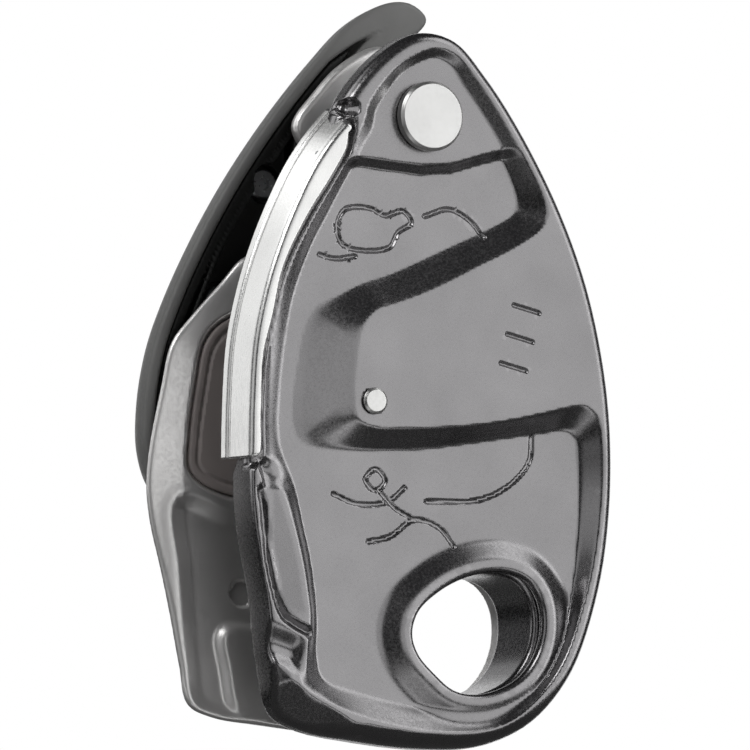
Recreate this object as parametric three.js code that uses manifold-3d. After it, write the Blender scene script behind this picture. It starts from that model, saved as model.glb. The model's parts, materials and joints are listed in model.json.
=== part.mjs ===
// Assisted-braking belay device: two side plates that trap the rope around a pivoting cam.
// Millimetres, +Z up. The front of the device faces -Y, and +Y runs through it to the back.
// The origin is the middle of the attachment hole, on the mid-plane of the rope gap.

import * as THREE from "three";
import { mergeVertices } from "three/addons/utils/BufferGeometryUtils.js";
import Module from "manifold-3d";

const wasm = await Module();
wasm.setup();

// ---------------------------------------------------------------- driving dimensions

// Depths along Y, from the front of the device to its back.
const RIM_FACE = -11.5; // rim and K-shaped band of the moving side plate
const COLLAR_FACE = -10.6; // ring around the attachment hole
const RIVET_ZONE = -10.3; // panel under the head of the main rivet
const HAND_ZONE = -8.8; // floor of the upper recess
const CLIMBER_ZONE = -8.6; // floor of the lower recess
const FRONT_INNER = -6.2; // inner face of the moving side plate
const FLANGE_END = -4.5; // rear edge of the flange on its lower left
const REAR_INNER = 5.6; // inner face of the fixed side plate
const REAR_FACE = 8.4; // back of the fixed side plate
const HANDLE_FRONT = 8.9;
const HANDLE_SHOULDER = 12.3; // behind this the outer wall of the handle leans inwards
const HANDLE_FLOOR = 15.0; // floor of the hollow in the handle
const HANDLE_BACK = 17.5;
const GRIP_SEAT = 16.6; // floor of the shallow seat of the grip

const RIM_CHAMFER = 1.4;
const BAND_MIDDLE = 40.0; // height between the two recesses
const RIVET_ZONE_FOOT = 69.6; // height of the step under the main rivet

const GAP = 0.3; // clearance between pieces that touch
const SHEET = 2.3; // wall thickness of the forged side plates
const STRIP_SHEET = 1.3; // wall thickness of the wear strip
const STRIP_FACE = -11.3;
const STRIP_END = -4.6;
const STRIP_FOOT = 25.0; // height of the square lower end of the strip

const MAIN_RIVET = { x: -8.6, z: 77.2, head: 5.25, shank: 3.0, front: -12.3, tail: 4.8, end: 10.2 };
const CAM_AXLE = { x: -18.1, z: 34.1, shank: 3.8 };
const CAM_CENTRE = { x: -1.5, z: 41.5 };
const CAM_FLANGE = 17.0;
const CAM_GROOVE = 13.0;
const CAM_FRONT = -5.7;
const CAM_BACK = 5.1;
const CAM_HUB = 10.0;
const STOP_PIN = { x: -30.7, z: 28.9, radius: 1.8 };
const SELECTOR = { x: 7.0, z: 58.0, radius: 7.5 };
const MAIN_BUSH = 4.2; // outer radius of each bush
const CAM_BUSH = 5.1;
const HANDLE_BUSH = 4.8;
const STRIP_RIVET = 0.9; // radius
const PIN = { head: 2.0, shank: 1.4, front: -12.3 };
const PANEL_HOLE = { x: -30.9, z: 6.1, radius: 2.0 };
const FRICTION_RIVET = { head: 2.7, shank: 1.5, front: 1.5 };
const SHOE = { inner: 24.2, outer: 27.4, foot: 32.6 }; // radii around the cam's centre
const SPACER = { inner: 3.3, outer: 6.0, front: -5.9 };
const CAM_TAIL = { x: -28.6, z: 34.1, radius: 3.2, half: 3.5 };
const CAM_POCKET = { x: 0.5, z: 42, radius: 7.5, floor: -3.4 };
const CAM_SPRING_SEAT = { radius: 8.4, floor: 1.5 };
const AXLE_HEAD = { radius: 5.8, front: -5.9, back: -5.1 };
const AXLE_GROOVE = { radius: 3.1, front: 15.0, back: 15.8, end: 16.0 };
const CAP = { radius: 6.8, seat: 7.2, front: 16.4, back: 18.2 };
const CLUTCH = { inner: 6.6, outer: 11.2, front: 10.9, back: 12.1 };
const GRIP_SCREW = { head: 2.3, shank: 1.4, tip: 0.7, front: 12.9, end: 17.3 };
const GRIP_BACK = 18.3;
const SELECTOR_SCREW = { head: 3.1, shank: 1.8, seat: 11.9, back: 13.2 };
const SELECTOR_DISC_BACK = 10.6;
const POINTER_BACK = 13.0;
const WAVE_WASHER = { inner: 3.0, outer: 5.0, back: 9.5 };
const DETENT = { x: 7.0, z: 51.8, radius: 0.6, y: 9.1 };
const ROUND = 24; // sides of a turned piece
const ROUND_SMALL = 20; // sides of a narrow hole or pin
const ROUND_FINE = 16; // sides of a screw or a small rivet
const SLIVER = 0.01; // edges shorter than this are merged after the cuts

// ---------------------------------------------------------------- outlines, as [x, z]

const MOVING_PLATE = [
  [-10, 89.8], [-4, 88.9], [1.3, 83.7], [6.8, 76.3], [13.2, 65.3], [17.9, 54.2],
  [20.8, 43.2], [22.3, 32], [22.2, 19], [20.3, 7], [15.8, -5.3], [9.5, -13],
  [2, -16.6], [-7.5, -17.4], [-19, -16.6], [-28.5, -15], [-32.6, -12.6], [-34.5, -5],
  [-35.6, 5], [-37.3, 15.5], [-38.2, 24], [-38, 34], [-37.2, 43.5], [-34.7, 54],
  [-30.6, 63.9], [-24.8, 72.8], [-22.4, 79.4], [-16.3, 86.3],
];

const RECESS = [
  [-7.9, 87], [-4.2, 86], [-1, 82.8], [2.6, 78], [6.6, 71], [9, 65.5], [8.6, 62.2],
  [4.5, 60.2], [-5, 56.2], [-15.8, 51.6], [-24.5, 48.4], [-27.5, 45], [-28.8, 40],
  [-29.2, 33], [-28.4, 29.8], [-25.5, 28.4], [-18, 28.4], [-10, 28.8], [5, 30.8],
  [15, 33.2], [18.4, 31.4], [18.8, 24], [17.6, 13], [14.6, 2], [10.6, -6.2],
  [2.6, -11.2], [-10, -12.4], [-20, -10.6], [-27.2, -7.2], [-27.6, 0], [-29.6, 11],
  [-32.4, 22.4], [-34.2, 30], [-33, 43], [-30.3, 53], [-26, 61.3], [-21.9, 68.6],
  [-19.2, 76], [-15, 82.6],
];

const K_BAND = [
  [24, 66], [12, 63.2], [4.5, 59.2], [-5, 55.2], [-15.8, 50.7], [-22.5, 47.8],
  [-25.2, 44.6], [-26.2, 38], [-26.3, 32.5], [-24.2, 29.2], [-18, 28.4],
  [-10, 28.8], [5, 30.8], [15, 33.2], [19.5, 34.2], [26, 34],
];

const STRIP_OUTER = [
  [-22.9, 78.2], [-26.3, 74.3], [-29.6, 69.6], [-32.2, 64.6], [-34.8, 58.9],
  [-37.2, 51.8], [-39.2, 43], [-39.9, 34], [-40.1, STRIP_FOOT],
];
const STRIP_INNER = [
  [-37.2, STRIP_FOOT], [-36.9, 32], [-36.2, 41], [-34.4, 48.5], [-31.5, 57.4],
  [-26.7, 65.3], [-23, 71.5], [-22, 75],
];

const FIXED_PLATE = [
  [-8.5, 89.4], [-4.2, 88.2], [0.8, 83], [6.2, 75.8], [12.6, 64.8], [17.3, 53.8],
  [20.2, 42.8], [21.7, 31.8], [21.6, 19], [19.7, 7.2], [15.2, -4.8], [9, -12],
  [0, -14.8], [-12, -14.9], [-27.9, -13.6], [-36, -12.6], [-39.9, -10.8], [-41.4, -5],
  [-42.9, 2.1], [-44.6, 9.3], [-46.4, 16.4], [-47, 22.1], [-46.4, 28], [-44.6, 36.4],
  [-42.8, 43.5], [-39.3, 47.9], [-34.6, 52.9], [-31, 56.6], [-26, 58], [-21, 61],
  [-18.6, 66.5], [-20.4, 72], [-22.6, 76.8], [-19, 82], [-14.5, 86.5],
];

const SIDE_WINDOW = [
  [-27.5, 49], [-34, 47.2], [-37.5, 43.6], [-39.1, 37], [-40.3, 28.6], [-40.2, 24.4],
  [-37.4, 21.8], [-30, 20.4], [-27.2, 23], [-26.6, 36],
];

const ATTACHMENT_HOLE = [
  [-10.9, -0.4], [-9.9, 2.9], [-6.9, 5.7], [-3.2, 7.8], [0.8, 9], [5, 9.2], [8.4, 7.9],
  [10.4, 5.2], [10.9, 1.2], [9.8, -2.8], [7.2, -6.2], [3.4, -8.3], [-0.6, -9.1],
  [-4.1, -8.5], [-7.2, -6.2], [-9.9, -3.4],
];

const HANDLE = [
  [1.6, 94.2], [-1, 96.6], [-5, 96.6], [-11.3, 93.4], [-17.4, 87.3], [-22.8, 81],
  [-27.4, 75], [-32, 68.3], [-36.9, 60], [-41.5, 50.7], [-44.4, 43], [-46, 34],
  [-45.8, 26.6], [-43.4, 21], [-38, 18.4], [-28, 18.2], [-16, 18.9], [-7.5, 23.5],
  [-3.4, 31], [-3.6, 38.5], [-7.2, 46], [-11.5, 53], [-14.6, 60], [-16.2, 67],
  [-16.6, 74], [-14.4, 81], [-9, 86.8], [-2, 90.4],
];

// ---------------------------------------------------------------- geometry helpers

const toPoint = ([x, z]) => new THREE.Vector2(x, z);

// A smooth closed loop through the points, as THREE.Vector2.
function smoothLoop(points, steps = points.length * 2) {
  const corners = points.map(([x, z]) => new THREE.Vector3(x, z, 0));
  const curve = new THREE.CatmullRomCurve3(corners, true, "centripetal");
  const samples = curve.getPoints(steps);
  return samples.slice(0, -1).map((p) => new THREE.Vector2(p.x, p.y));
}

// A smooth open line through the points, as THREE.Vector2.
function smoothLine(points, steps = points.length * 2) {
  const curve = new THREE.SplineCurve(points.map(([x, z]) => new THREE.Vector2(x, z)));
  return curve.getPoints(steps);
}

// The loop moved sideways by a distance: positive goes inwards. Points that a tight bend
// would push across the loop are left out.
function inset(loop, distance) {
  const turn = Math.sign(THREE.ShapeUtils.area(loop));
  const moved = loop.map((point, i) => {
    const before = loop[(i + loop.length - 1) % loop.length];
    const after = loop[(i + 1) % loop.length];
    const along = after.clone().sub(before).normalize();
    const inwards = new THREE.Vector2(-along.y, along.x).multiplyScalar(distance * turn);
    return point.clone().add(inwards);
  });
  const nearest = Math.abs(distance) * 0.97;
  return moved.filter((point) => loop.every((other) => point.distanceTo(other) >= nearest));
}

// An ellipse, or a circle when the radii are equal.
function oval(x, z, radiusX, radiusZ = radiusX, steps = ROUND) {
  return Array.from({ length: steps }, (_, i) => {
    const angle = (2 * Math.PI * i) / steps;
    return new THREE.Vector2(x + radiusX * Math.cos(angle), z + radiusZ * Math.sin(angle));
  });
}

// A stretch of a ring, between two radii and two angles in degrees.
function arcBand(centre, inner, outer, from, to, steps = 12) {
  const at = (radius, i) => {
    const angle = THREE.MathUtils.degToRad(from + ((to - from) * i) / steps);
    const x = centre.x + radius * Math.cos(angle);
    return new THREE.Vector2(x, centre.z + radius * Math.sin(angle));
  };
  const index = Array.from({ length: steps + 1 }, (_, i) => i);
  const back = [...index].reverse();
  return [...index.map((i) => at(outer, i)), ...back.map((i) => at(inner, i))];
}

// The signed volume of a closed mesh tells whether its faces point outwards.
function signedVolume(vertices, triangles) {
  const corner = (i) => new THREE.Vector3().fromArray(vertices, 3 * i);
  let volume = 0;
  for (let t = 0; t < triangles.length; t += 3) {
    const [a, b, c] = [0, 1, 2].map((k) => corner(triangles[t + k]));
    volume += a.dot(b.cross(c)) / 6;
  }
  return volume;
}

// A closed three.js geometry as a solid that can be joined and cut.
function solid(geometry) {
  const bare = geometry.clone();
  bare.deleteAttribute("normal");
  bare.deleteAttribute("uv");
  const merged = mergeVertices(bare, 1e-4);
  const vertProperties = new Float32Array(merged.attributes.position.array);
  const triVerts = new Uint32Array(merged.index.array);
  if (signedVolume(vertProperties, triVerts) < 0) triVerts.reverse();
  return new wasm.Manifold(new wasm.Mesh({ numProp: 3, vertProperties, triVerts }));
}

// A loop in the XZ plane, thickened from one depth to another.
function slab(loop, front, back) {
  const shape = new THREE.Shape(loop);
  const geometry = new THREE.ExtrudeGeometry(shape, { depth: back - front, bevelEnabled: false });
  geometry.translate(0, 0, -back);
  geometry.rotateX(Math.PI / 2);
  return solid(geometry);
}

// A slab whose front and back edges are chamfered.
function chamferedSlab(loop, front, back, chamfer) {
  const geometry = new THREE.ExtrudeGeometry(new THREE.Shape(loop), {
    depth: back - front - 2 * chamfer,
    bevelThickness: chamfer,
    bevelSize: chamfer,
    bevelOffset: -chamfer,
    bevelSegments: 1,
  });
  geometry.translate(0, 0, chamfer - back);
  geometry.rotateX(Math.PI / 2);
  return solid(geometry);
}

// Everything between two depths.
function layer(front, back) {
  return slab([[-60, -30], [40, -30], [40, 110], [-60, 110]].map(toPoint), front, back);
}

function rod(place, radius, front, back, sides = ROUND) {
  return slab(oval(place.x, place.z, radius, radius, sides), front, back);
}

function ring(place, inner, outer, front, back) {
  return rod(place, outer, front, back).subtract(rod(place, inner, front - 1, back + 1));
}

// A piece turned about an axis parallel to Y, from its profile of [radius, depth].
function turned(place, profile) {
  const points = profile.map(([radius, depth]) => new THREE.Vector2(radius, depth));
  const geometry = new THREE.LatheGeometry(points, ROUND);
  geometry.translate(place.x, 0, place.z);
  return solid(geometry);
}

// A torsion spring about an axis parallel to Y, with two legs that point outwards.
function torsionSpring(place, { radius, wire, front, back, turns, leg }) {
  const stepsPerTurn = 12;
  const total = Math.round(turns * stepsPerTurn);
  const at = (reach, i) => {
    const angle = (2 * Math.PI * i) / stepsPerTurn;
    const depth = front + ((back - front) * i) / total;
    const x = place.x + reach * Math.cos(angle);
    return new THREE.Vector3(x, depth, place.z + reach * Math.sin(angle));
  };
  const coil = Array.from({ length: total + 1 }, (_, i) => at(radius, i));
  const path = new THREE.CatmullRomCurve3([at(radius + leg, 0), ...coil, at(radius + leg, total)]);
  const section = new THREE.Shape(oval(0, 0, wire / 2, wire / 2, 6));
  const steps = total;
  return solid(new THREE.ExtrudeGeometry(section, { steps, extrudePath: path }));
}

// ---------------------------------------------------------------- materials

const finish = (color, roughness, metalness) =>
  new THREE.MeshStandardMaterial({ color, roughness, metalness });
const FINISH = {
  gunmetal: () => finish(0x8f8d8e, 0.42, 0.7),
  silver: () => finish(0xc0c0bf, 0.38, 0.8),
  stainless: () => finish(0xe0e0de, 0.28, 0.95),
  steel: () => finish(0xa4a6a8, 0.35, 0.95),
  bronze: () => finish(0xa8854f, 0.45, 0.9),
  handleGrey: () => finish(0x7a7a78, 0.5, 0.4),
  blackNylon: () => finish(0x0d0e0d, 0.6, 0.0),
  taupe: () => finish(0x6b6563, 0.6, 0.1),
};

const device = new THREE.Group();

function add(name, shape, material) {
  const { vertProperties, triVerts } = shape.simplify(SLIVER).getMesh();
  const geometry = new THREE.BufferGeometry();
  geometry.setAttribute("position", new THREE.BufferAttribute(new Float32Array(vertProperties), 3));
  geometry.setIndex(new THREE.BufferAttribute(new Uint32Array(triVerts), 1));
  geometry.computeVertexNormals();
  const mesh = new THREE.Mesh(geometry, material);
  mesh.name = name;
  device.add(mesh);
}

const OUT = 30; // reach of a cutting tool past the device
const COLLAR_WALL = 2.2; // wall of the collar that lines the attachment hole
const attachmentHole = (margin) => inset(smoothLoop(ATTACHMENT_HOLE), -margin);

// ---------------------------------------------------------------- moving side plate

const movingLoop = smoothLoop(MOVING_PLATE);
const stripLoop = [...smoothLine(STRIP_OUTER), ...smoothLine(STRIP_INNER)];

// The forged sheet: rim, K-shaped band, and two recesses at three depths.
function movingPlateFront() {
  const recess = smoothLoop(RECESS);
  const band = slab(smoothLoop(K_BAND), RIM_FACE - 1, FRONT_INNER);
  const pocket = slab(recess, RIM_FACE - 1, CLIMBER_ZONE).subtract(band);
  const above = (z) => [[-60, z], [60, z], [60, 99], [-60, 99]].map(toPoint);
  const handZone = slab(above(BAND_MIDDLE), HAND_ZONE, 0);
  const rivetZone = slab(above(RIVET_ZONE_FOOT), RIVET_ZONE, 0);
  const collar = slab(attachmentHole(3.9), COLLAR_FACE, 0);
  const cut = pocket.subtract(handZone).subtract(rivetZone).subtract(collar);
  return chamferedSlab(movingLoop, RIM_FACE, FRONT_INNER + RIM_CHAMFER, RIM_CHAMFER)
    .intersect(layer(RIM_FACE - 1, FRONT_INNER))
    .subtract(cut);
}

// The flange that wraps back along the lower left and the bottom edge.
function movingPlateFlange() {
  const wall = slab(movingLoop, FRONT_INNER - 1, FLANGE_END)
    .subtract(slab(inset(movingLoop, SHEET), FRONT_INNER - 2, OUT));
  const reach = [[-60, -30], [6, -30], [6, -12], [-20, -6], [-20, 24], [-60, 24]];
  return wall.intersect(slab(reach.map(toPoint), -OUT, OUT));
}

function movingSidePlate() {
  const pinSeat = rod(CAM_AXLE, PIN.shank + GAP, -OUT, OUT, ROUND_FINE);
  const stripSeat = slab(inset(stripLoop, -GAP), RIM_FACE - 1, STRIP_FACE + STRIP_SHEET + GAP);
  return movingPlateFront()
    .add(movingPlateFlange())
    .add(slab(attachmentHole(COLLAR_WALL), FRONT_INNER - 1, REAR_INNER - GAP))
    .subtract(slab(attachmentHole(0), -OUT, OUT))
    .subtract(rod(MAIN_RIVET, MAIN_BUSH + GAP, -OUT, OUT))
    .subtract(pinSeat)
    .subtract(stripSeat)
    .subtract(stripWall(GAP))
    .subtract(stripRivetHoles());
}

// ---------------------------------------------------------------- wear strip

// The side wall of the strip, wrapped around the left edge of the plate.
function stripWall(margin) {
  const outer = smoothLine(STRIP_OUTER);
  const thick = STRIP_SHEET + margin;
  const shift = outer.map((point, i) => {
    const before = outer[Math.max(i - 1, 0)];
    const after = outer[Math.min(i + 1, outer.length - 1)];
    const along = after.clone().sub(before).normalize();
    return point.clone().add(new THREE.Vector2(-along.y, along.x).multiplyScalar(thick));
  });
  const reach = outer.map((point, i) => point.clone().lerp(shift[i], -margin * 4));
  const loop = [...reach, ...shift.reverse()];
  return slab(loop, STRIP_FACE, STRIP_END + margin);
}

const STRIP_RIVETS = [{ x: -26.2, z: 70.6 }, { x: -37.4, z: 38.0 }];

function stripRivetHoles() {
  const [upper, lower] = STRIP_RIVETS.map((place) =>
    rod(place, STRIP_RIVET + GAP, -OUT, OUT, ROUND_FINE));
  return upper.add(lower);
}

function wearStrip() {
  return slab(stripLoop, STRIP_FACE, STRIP_FACE + STRIP_SHEET).add(stripWall(0));
}

// ---------------------------------------------------------------- fixed side plate

const fixedLoop = smoothLoop(FIXED_PLATE);
const SIDE_WINDOW_FLOOR = 7.3;
const BACK_CHAMFER = 0.8;
const BEHIND_COLLAR = 0.8; // how much wider the rear hole is than the collar's bore
const LOWER_PANEL = [
  [-44, 18], [-40.4, 2], [-38.4, -9.6], [-34, -10.6], [-26, -10.6], [-26, 15], [-32, 16.4],
];
const PANEL_RIB = [[-35.6, 1], [-33.6, 1.6], [-31.4, 0.6], [-30.4, -10], [-33.6, -10]];
const PANEL_DEPTH = 0.9;
const FRICTION_RIVETS = [{ x: -17.4, z: 67.2 }, { x: 3.0, z: 71.4 }];

function frictionRivetHoles() {
  const [left, right] = FRICTION_RIVETS.map((place) =>
    rod(place, FRICTION_RIVET.shank + GAP, -OUT, OUT, ROUND_SMALL));
  return left.add(right);
}

function fixedSidePlate() {
  const panel = slab(smoothLoop(LOWER_PANEL), 0, REAR_INNER + PANEL_DEPTH)
    .subtract(slab(smoothLoop(PANEL_RIB), 0, OUT));
  const plate = chamferedSlab(fixedLoop, REAR_INNER, REAR_FACE, BACK_CHAMFER)
    .subtract(slab(smoothLoop(SIDE_WINDOW), 0, SIDE_WINDOW_FLOOR))
    .subtract(panel)
    .subtract(rod(PANEL_HOLE, PANEL_HOLE.radius, -OUT, REAR_FACE - 1, ROUND_SMALL))
    .subtract(slab(attachmentHole(BEHIND_COLLAR), -OUT, OUT))
    .subtract(rod(MAIN_RIVET, MAIN_RIVET.shank + GAP, -OUT, OUT))
    .subtract(rod(CAM_AXLE, CAM_AXLE.shank + GAP, -OUT, OUT))
    .subtract(rod(STOP_PIN, STOP_PIN.radius + GAP, -OUT, OUT, ROUND_SMALL))
    .subtract(rod(SELECTOR, SELECTOR_SCREW.shank + GAP, -OUT, OUT, ROUND_SMALL));
  return plate.subtract(frictionRivetHoles());
}

function sideInlay() {
  const body = slab(inset(smoothLoop(SIDE_WINDOW), GAP), REAR_INNER + 0.5, SIDE_WINDOW_FLOOR - GAP);
  return body.subtract(rod(STOP_PIN, STOP_PIN.radius + GAP, -OUT, OUT, ROUND_SMALL));
}

// A curved steel shoe across the rope gap, on a foot that two rivets hold to the plate.
function frictionPlate() {
  const { inner, outer, foot } = SHOE;
  const shoe = slab(arcBand(CAM_CENTRE, inner, outer, 78, 134), CAM_FRONT + 0.1, REAR_INNER - GAP);
  const flange = slab(arcBand(CAM_CENTRE, inner, foot, 76, 126), REAR_INNER - 2.6, REAR_INNER - GAP);
  const plate = shoe.add(flange).subtract(rod(MAIN_RIVET, SPACER.outer + GAP, -OUT, OUT));
  return plate.subtract(frictionRivetHoles());
}

function frictionRivet(place) {
  const { head, shank, front } = FRICTION_RIVET;
  return turned(place, [
    [0, front], [head - 0.8, front], [head, front + 0.6], [head, front + 1.2],
    [shank, front + 1.2], [shank, REAR_FACE - 0.1], [0, REAR_FACE - 0.1],
  ]);
}

function mainRivet() {
  const { head, shank, front, tail, end } = MAIN_RIVET;
  return turned(MAIN_RIVET, [
    [0, front], [head - 0.4, front], [head, front + 0.4], [head, RIVET_ZONE - GAP],
    [shank, RIVET_ZONE - GAP], [shank, REAR_FACE + GAP], [tail, REAR_FACE + GAP],
    [tail, end - 0.7], [tail - 0.8, end], [0, end],
  ]);
}

function camAxle() {
  const { shank } = CAM_AXLE;
  const { radius, front, back } = AXLE_HEAD;
  const groove = AXLE_GROOVE;
  return turned(CAM_AXLE, [
    [0, front], [radius, front], [radius, back], [shank, back], [shank, groove.front],
    [groove.radius, groove.front], [groove.radius, groove.back], [shank, groove.back],
    [shank, groove.end], [0, groove.end],
  ]);
}

// ---------------------------------------------------------------- cam

const CAM_WEB = [[-22, 43.2], [-6, 54], [-2, 54.4], [-2, 28.6], [-5, 28.8], [-15, 24.6]];
const GROOVE_FLOOR = { front: -2.2, back: 1.6 };
const CAM_LIP = 0.8;

function camBody() {
  const wheel = turned(CAM_CENTRE, [
    [0, CAM_FRONT], [CAM_FLANGE, CAM_FRONT], [CAM_FLANGE, CAM_FRONT + CAM_LIP],
    [CAM_GROOVE, GROOVE_FLOOR.front], [CAM_GROOVE, GROOVE_FLOOR.back], [CAM_FLANGE, CAM_BACK - CAM_LIP],
    [CAM_FLANGE, CAM_BACK], [0, CAM_BACK],
  ]);
  const hub = rod(CAM_AXLE, CAM_HUB, CAM_FRONT, CAM_BACK);
  const tail = rod(CAM_TAIL, CAM_TAIL.radius, -CAM_TAIL.half, CAM_TAIL.half, ROUND_SMALL);
  return wheel
    .add(hub)
    .add(slab(CAM_WEB.map(toPoint), CAM_FRONT, CAM_BACK))
    .add(tail)
    .subtract(rod(CAM_AXLE, CAM_BUSH + GAP, -OUT, OUT))
    .subtract(rod(CAM_AXLE, AXLE_HEAD.radius + 0.4, -OUT, AXLE_HEAD.back + GAP))
    .subtract(rod(CAM_AXLE, CAM_SPRING_SEAT.radius, CAM_SPRING_SEAT.floor, OUT))
    .subtract(rod(CAM_POCKET, CAM_POCKET.radius, -OUT, CAM_POCKET.floor));
}

// ---------------------------------------------------------------- handle

const handleLoop = smoothLoop(HANDLE);
const HANDLE_TERRACES = [ // where each terrace ends, and how far it lies inside the outline
  { back: HANDLE_SHOULDER, lean: 0 }, { back: 13.8, lean: 0.4 }, { back: 15.2, lean: 0.9 },
  { back: GRIP_SEAT, lean: 1.3 }, { back: HANDLE_BACK, lean: 1.6 },
];
const HANDLE_WALL = 1.9;
const LEDGE = 12.0; // depth of a ledge around the hollow, where the wall gets thicker
const LEDGE_WIDTH = 0.7;
const HANDLE_HUB = 13.2;
const CAP_SEAT_FLOOR = 14.7;
const LINER_RIB = [[-39.6, 44], [-34.1, 57.2], [-28.4, 67.1], [-20.2, 78.3], [-19.2, 77.5],
  [-27.2, 66.5], [-32.9, 56.6], [-38.4, 43.4]];
const LINER = { front: 10.2, floor: 12.8, wall: 1.8, hubWall: 1.6 };
const GRIP = [
  [-10.4, 90], [-15.7, 85.2], [-20.8, 79.2], [-25.6, 73.2], [-30.2, 66.8], [-34.8, 58.6],
  [-38.6, 49.8], [-37.6, 45], [-33.4, 43.2], [-28.2, 46.5], [-23.5, 54.5], [-20.5, 62.5],
  [-19, 70], [-18.6, 76], [-16, 82], [-10.9, 87.2],
];
const gripLoop = smoothLoop(GRIP);
const GRIP_SCREWS = [{ x: -24.4, z: 68.5 }, { x: -31.8, z: 50.5 }];

// The hollow inside the handle, or what fills it with a margin all around.
function handleHollow(front, margin) {
  const mouth = slab(inset(handleLoop, HANDLE_WALL + margin), front, LEDGE - margin);
  const deep = inset(handleLoop, HANDLE_WALL + LEDGE_WIDTH + margin);
  return mouth
    .add(slab(deep, front, HANDLE_FLOOR - margin))
    .subtract(rod(CAM_AXLE, HANDLE_HUB + margin, -OUT, OUT));
}

// The outer shell of the handle, in terraces that narrow towards the back.
function handleShell() {
  const terraces = HANDLE_TERRACES.map(({ back, lean }) =>
    slab(lean ? inset(handleLoop, lean) : handleLoop, HANDLE_FRONT, back));
  return terraces.reduce((shell, terrace) => shell.add(terrace));
}

function handleLever() {
  let lever = handleShell()
    .subtract(handleHollow(HANDLE_FRONT - 1, 0))
    .subtract(rod(CAM_AXLE, HANDLE_BUSH + GAP, -OUT, OUT))
    .subtract(rod(CAM_AXLE, CAP.seat, CAP_SEAT_FLOOR, OUT))
    .subtract(ring(CAM_AXLE, CLUTCH.inner - 0.4, CLUTCH.outer + 0.4, HANDLE_FRONT - 1, CLUTCH.back + GAP))
    .subtract(slab(gripLoop, GRIP_SEAT, OUT));
  for (const place of GRIP_SCREWS) {
    lever = lever.subtract(rod(place, GRIP_SCREW.shank + GAP, -OUT, OUT, ROUND_FINE));
  }
  return lever;
}

function handleLiner() {
  const dish = slab(inset(handleLoop, HANDLE_WALL + LEDGE_WIDTH + LINER.wall), 0, LINER.floor)
    .subtract(rod(CAM_AXLE, HANDLE_HUB + LINER.hubWall, -OUT, OUT))
    .subtract(slab(LINER_RIB.map(toPoint), -OUT, OUT));
  let liner = handleHollow(LINER.front, GAP).subtract(dish);
  for (const place of GRIP_SCREWS) {
    liner = liner.subtract(rod(place, GRIP_SCREW.head + 2 * GAP, -OUT, OUT, ROUND_FINE));
  }
  return liner;
}

function handleGrip() {
  let grip = slab(inset(gripLoop, GAP), GRIP_SEAT + GAP, GRIP_BACK);
  for (const place of GRIP_SCREWS) {
    grip = grip.subtract(rod(place, GRIP_SCREW.tip + GAP, 0, GRIP_SCREW.end + GAP, ROUND_FINE));
  }
  return grip;
}

function gripScrew(place) {
  const { head, shank, tip, front, end } = GRIP_SCREW;
  return turned(place, [
    [0, front], [head, front], [head, HANDLE_FLOOR - GAP], [shank, HANDLE_FLOOR - GAP],
    [shank, GRIP_SEAT], [tip, GRIP_SEAT], [tip, end], [0, end],
  ]);
}

// ---------------------------------------------------------------- mode selector

const POINTER = [ // around the selector's own axis
  [-2.2, -6.6], [2.2, -6.6], [3.0, 0], [2.2, 7], [0, 10.4], [-2.2, 7], [-3.0, 0],
];

function modeSelector() {
  const disc = rod(SELECTOR, SELECTOR.radius, REAR_FACE + GAP, SELECTOR_DISC_BACK);
  const pointer = POINTER.map(([x, z]) => [SELECTOR.x + x, SELECTOR.z + z]);
  return disc
    .add(slab(smoothLoop(pointer), REAR_FACE + GAP, POINTER_BACK))
    .subtract(rod(SELECTOR, SELECTOR_SCREW.shank + GAP, -OUT, OUT, ROUND_SMALL))
    .subtract(rod(SELECTOR, SELECTOR_SCREW.head + GAP, SELECTOR_SCREW.seat - GAP, OUT, ROUND_SMALL))
    .subtract(ring(SELECTOR, WAVE_WASHER.inner - 0.4, WAVE_WASHER.outer + 0.4, 0, WAVE_WASHER.back + GAP))
    .subtract(rod(DETENT, DETENT.radius + 0.4, 0, DETENT.y + DETENT.radius, 12));
}

function selectorScrew() {
  const { head, shank, seat, back } = SELECTOR_SCREW;
  return turned(SELECTOR, [
    [0, REAR_INNER + 0.1], [shank, REAR_INNER + 0.1], [shank, seat], [head, seat],
    [head, back - 0.5], [head - 0.7, back], [0, back],
  ]);
}

// A split ring in the groove of the axle, open on its +X side.
function retainingRing() {
  const mouth = slab(oval(CAM_AXLE.x + 5, CAM_AXLE.z, 3, 2), 0, OUT);
  return ring(CAM_AXLE, 3.3, 5.6, 15.15, 15.65).subtract(mouth);
}

// ---------------------------------------------------------------- assembly

add("fixed_side_plate", fixedSidePlate(), FINISH.silver());
add("side_inlay", sideInlay(), FINISH.taupe());
add("friction_plate", frictionPlate(), FINISH.stainless());
add("friction_plate_rivet_left", frictionRivet(FRICTION_RIVETS[0]), FINISH.steel());
add("friction_plate_rivet_right", frictionRivet(FRICTION_RIVETS[1]), FINISH.steel());
add("main_rivet", mainRivet(), FINISH.stainless());
add("main_spacer", ring(MAIN_RIVET, SPACER.inner, SPACER.outer, SPACER.front, REAR_INNER - GAP),
  FINISH.steel());
add("cam_axle", camAxle(), FINISH.steel());
add("cam_stop_pin", rod(STOP_PIN, STOP_PIN.radius, -4.0, REAR_FACE - 0.1, ROUND_SMALL), FINISH.steel());
add("cam_return_spring", torsionSpring(CAM_AXLE, {
  radius: 6.9, wire: 0.8, front: 2.2, back: 4.9, turns: 2.5, leg: 0.6,
}), FINISH.steel());
add("axle_retaining_ring", retainingRing(), FINISH.steel());

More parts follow.
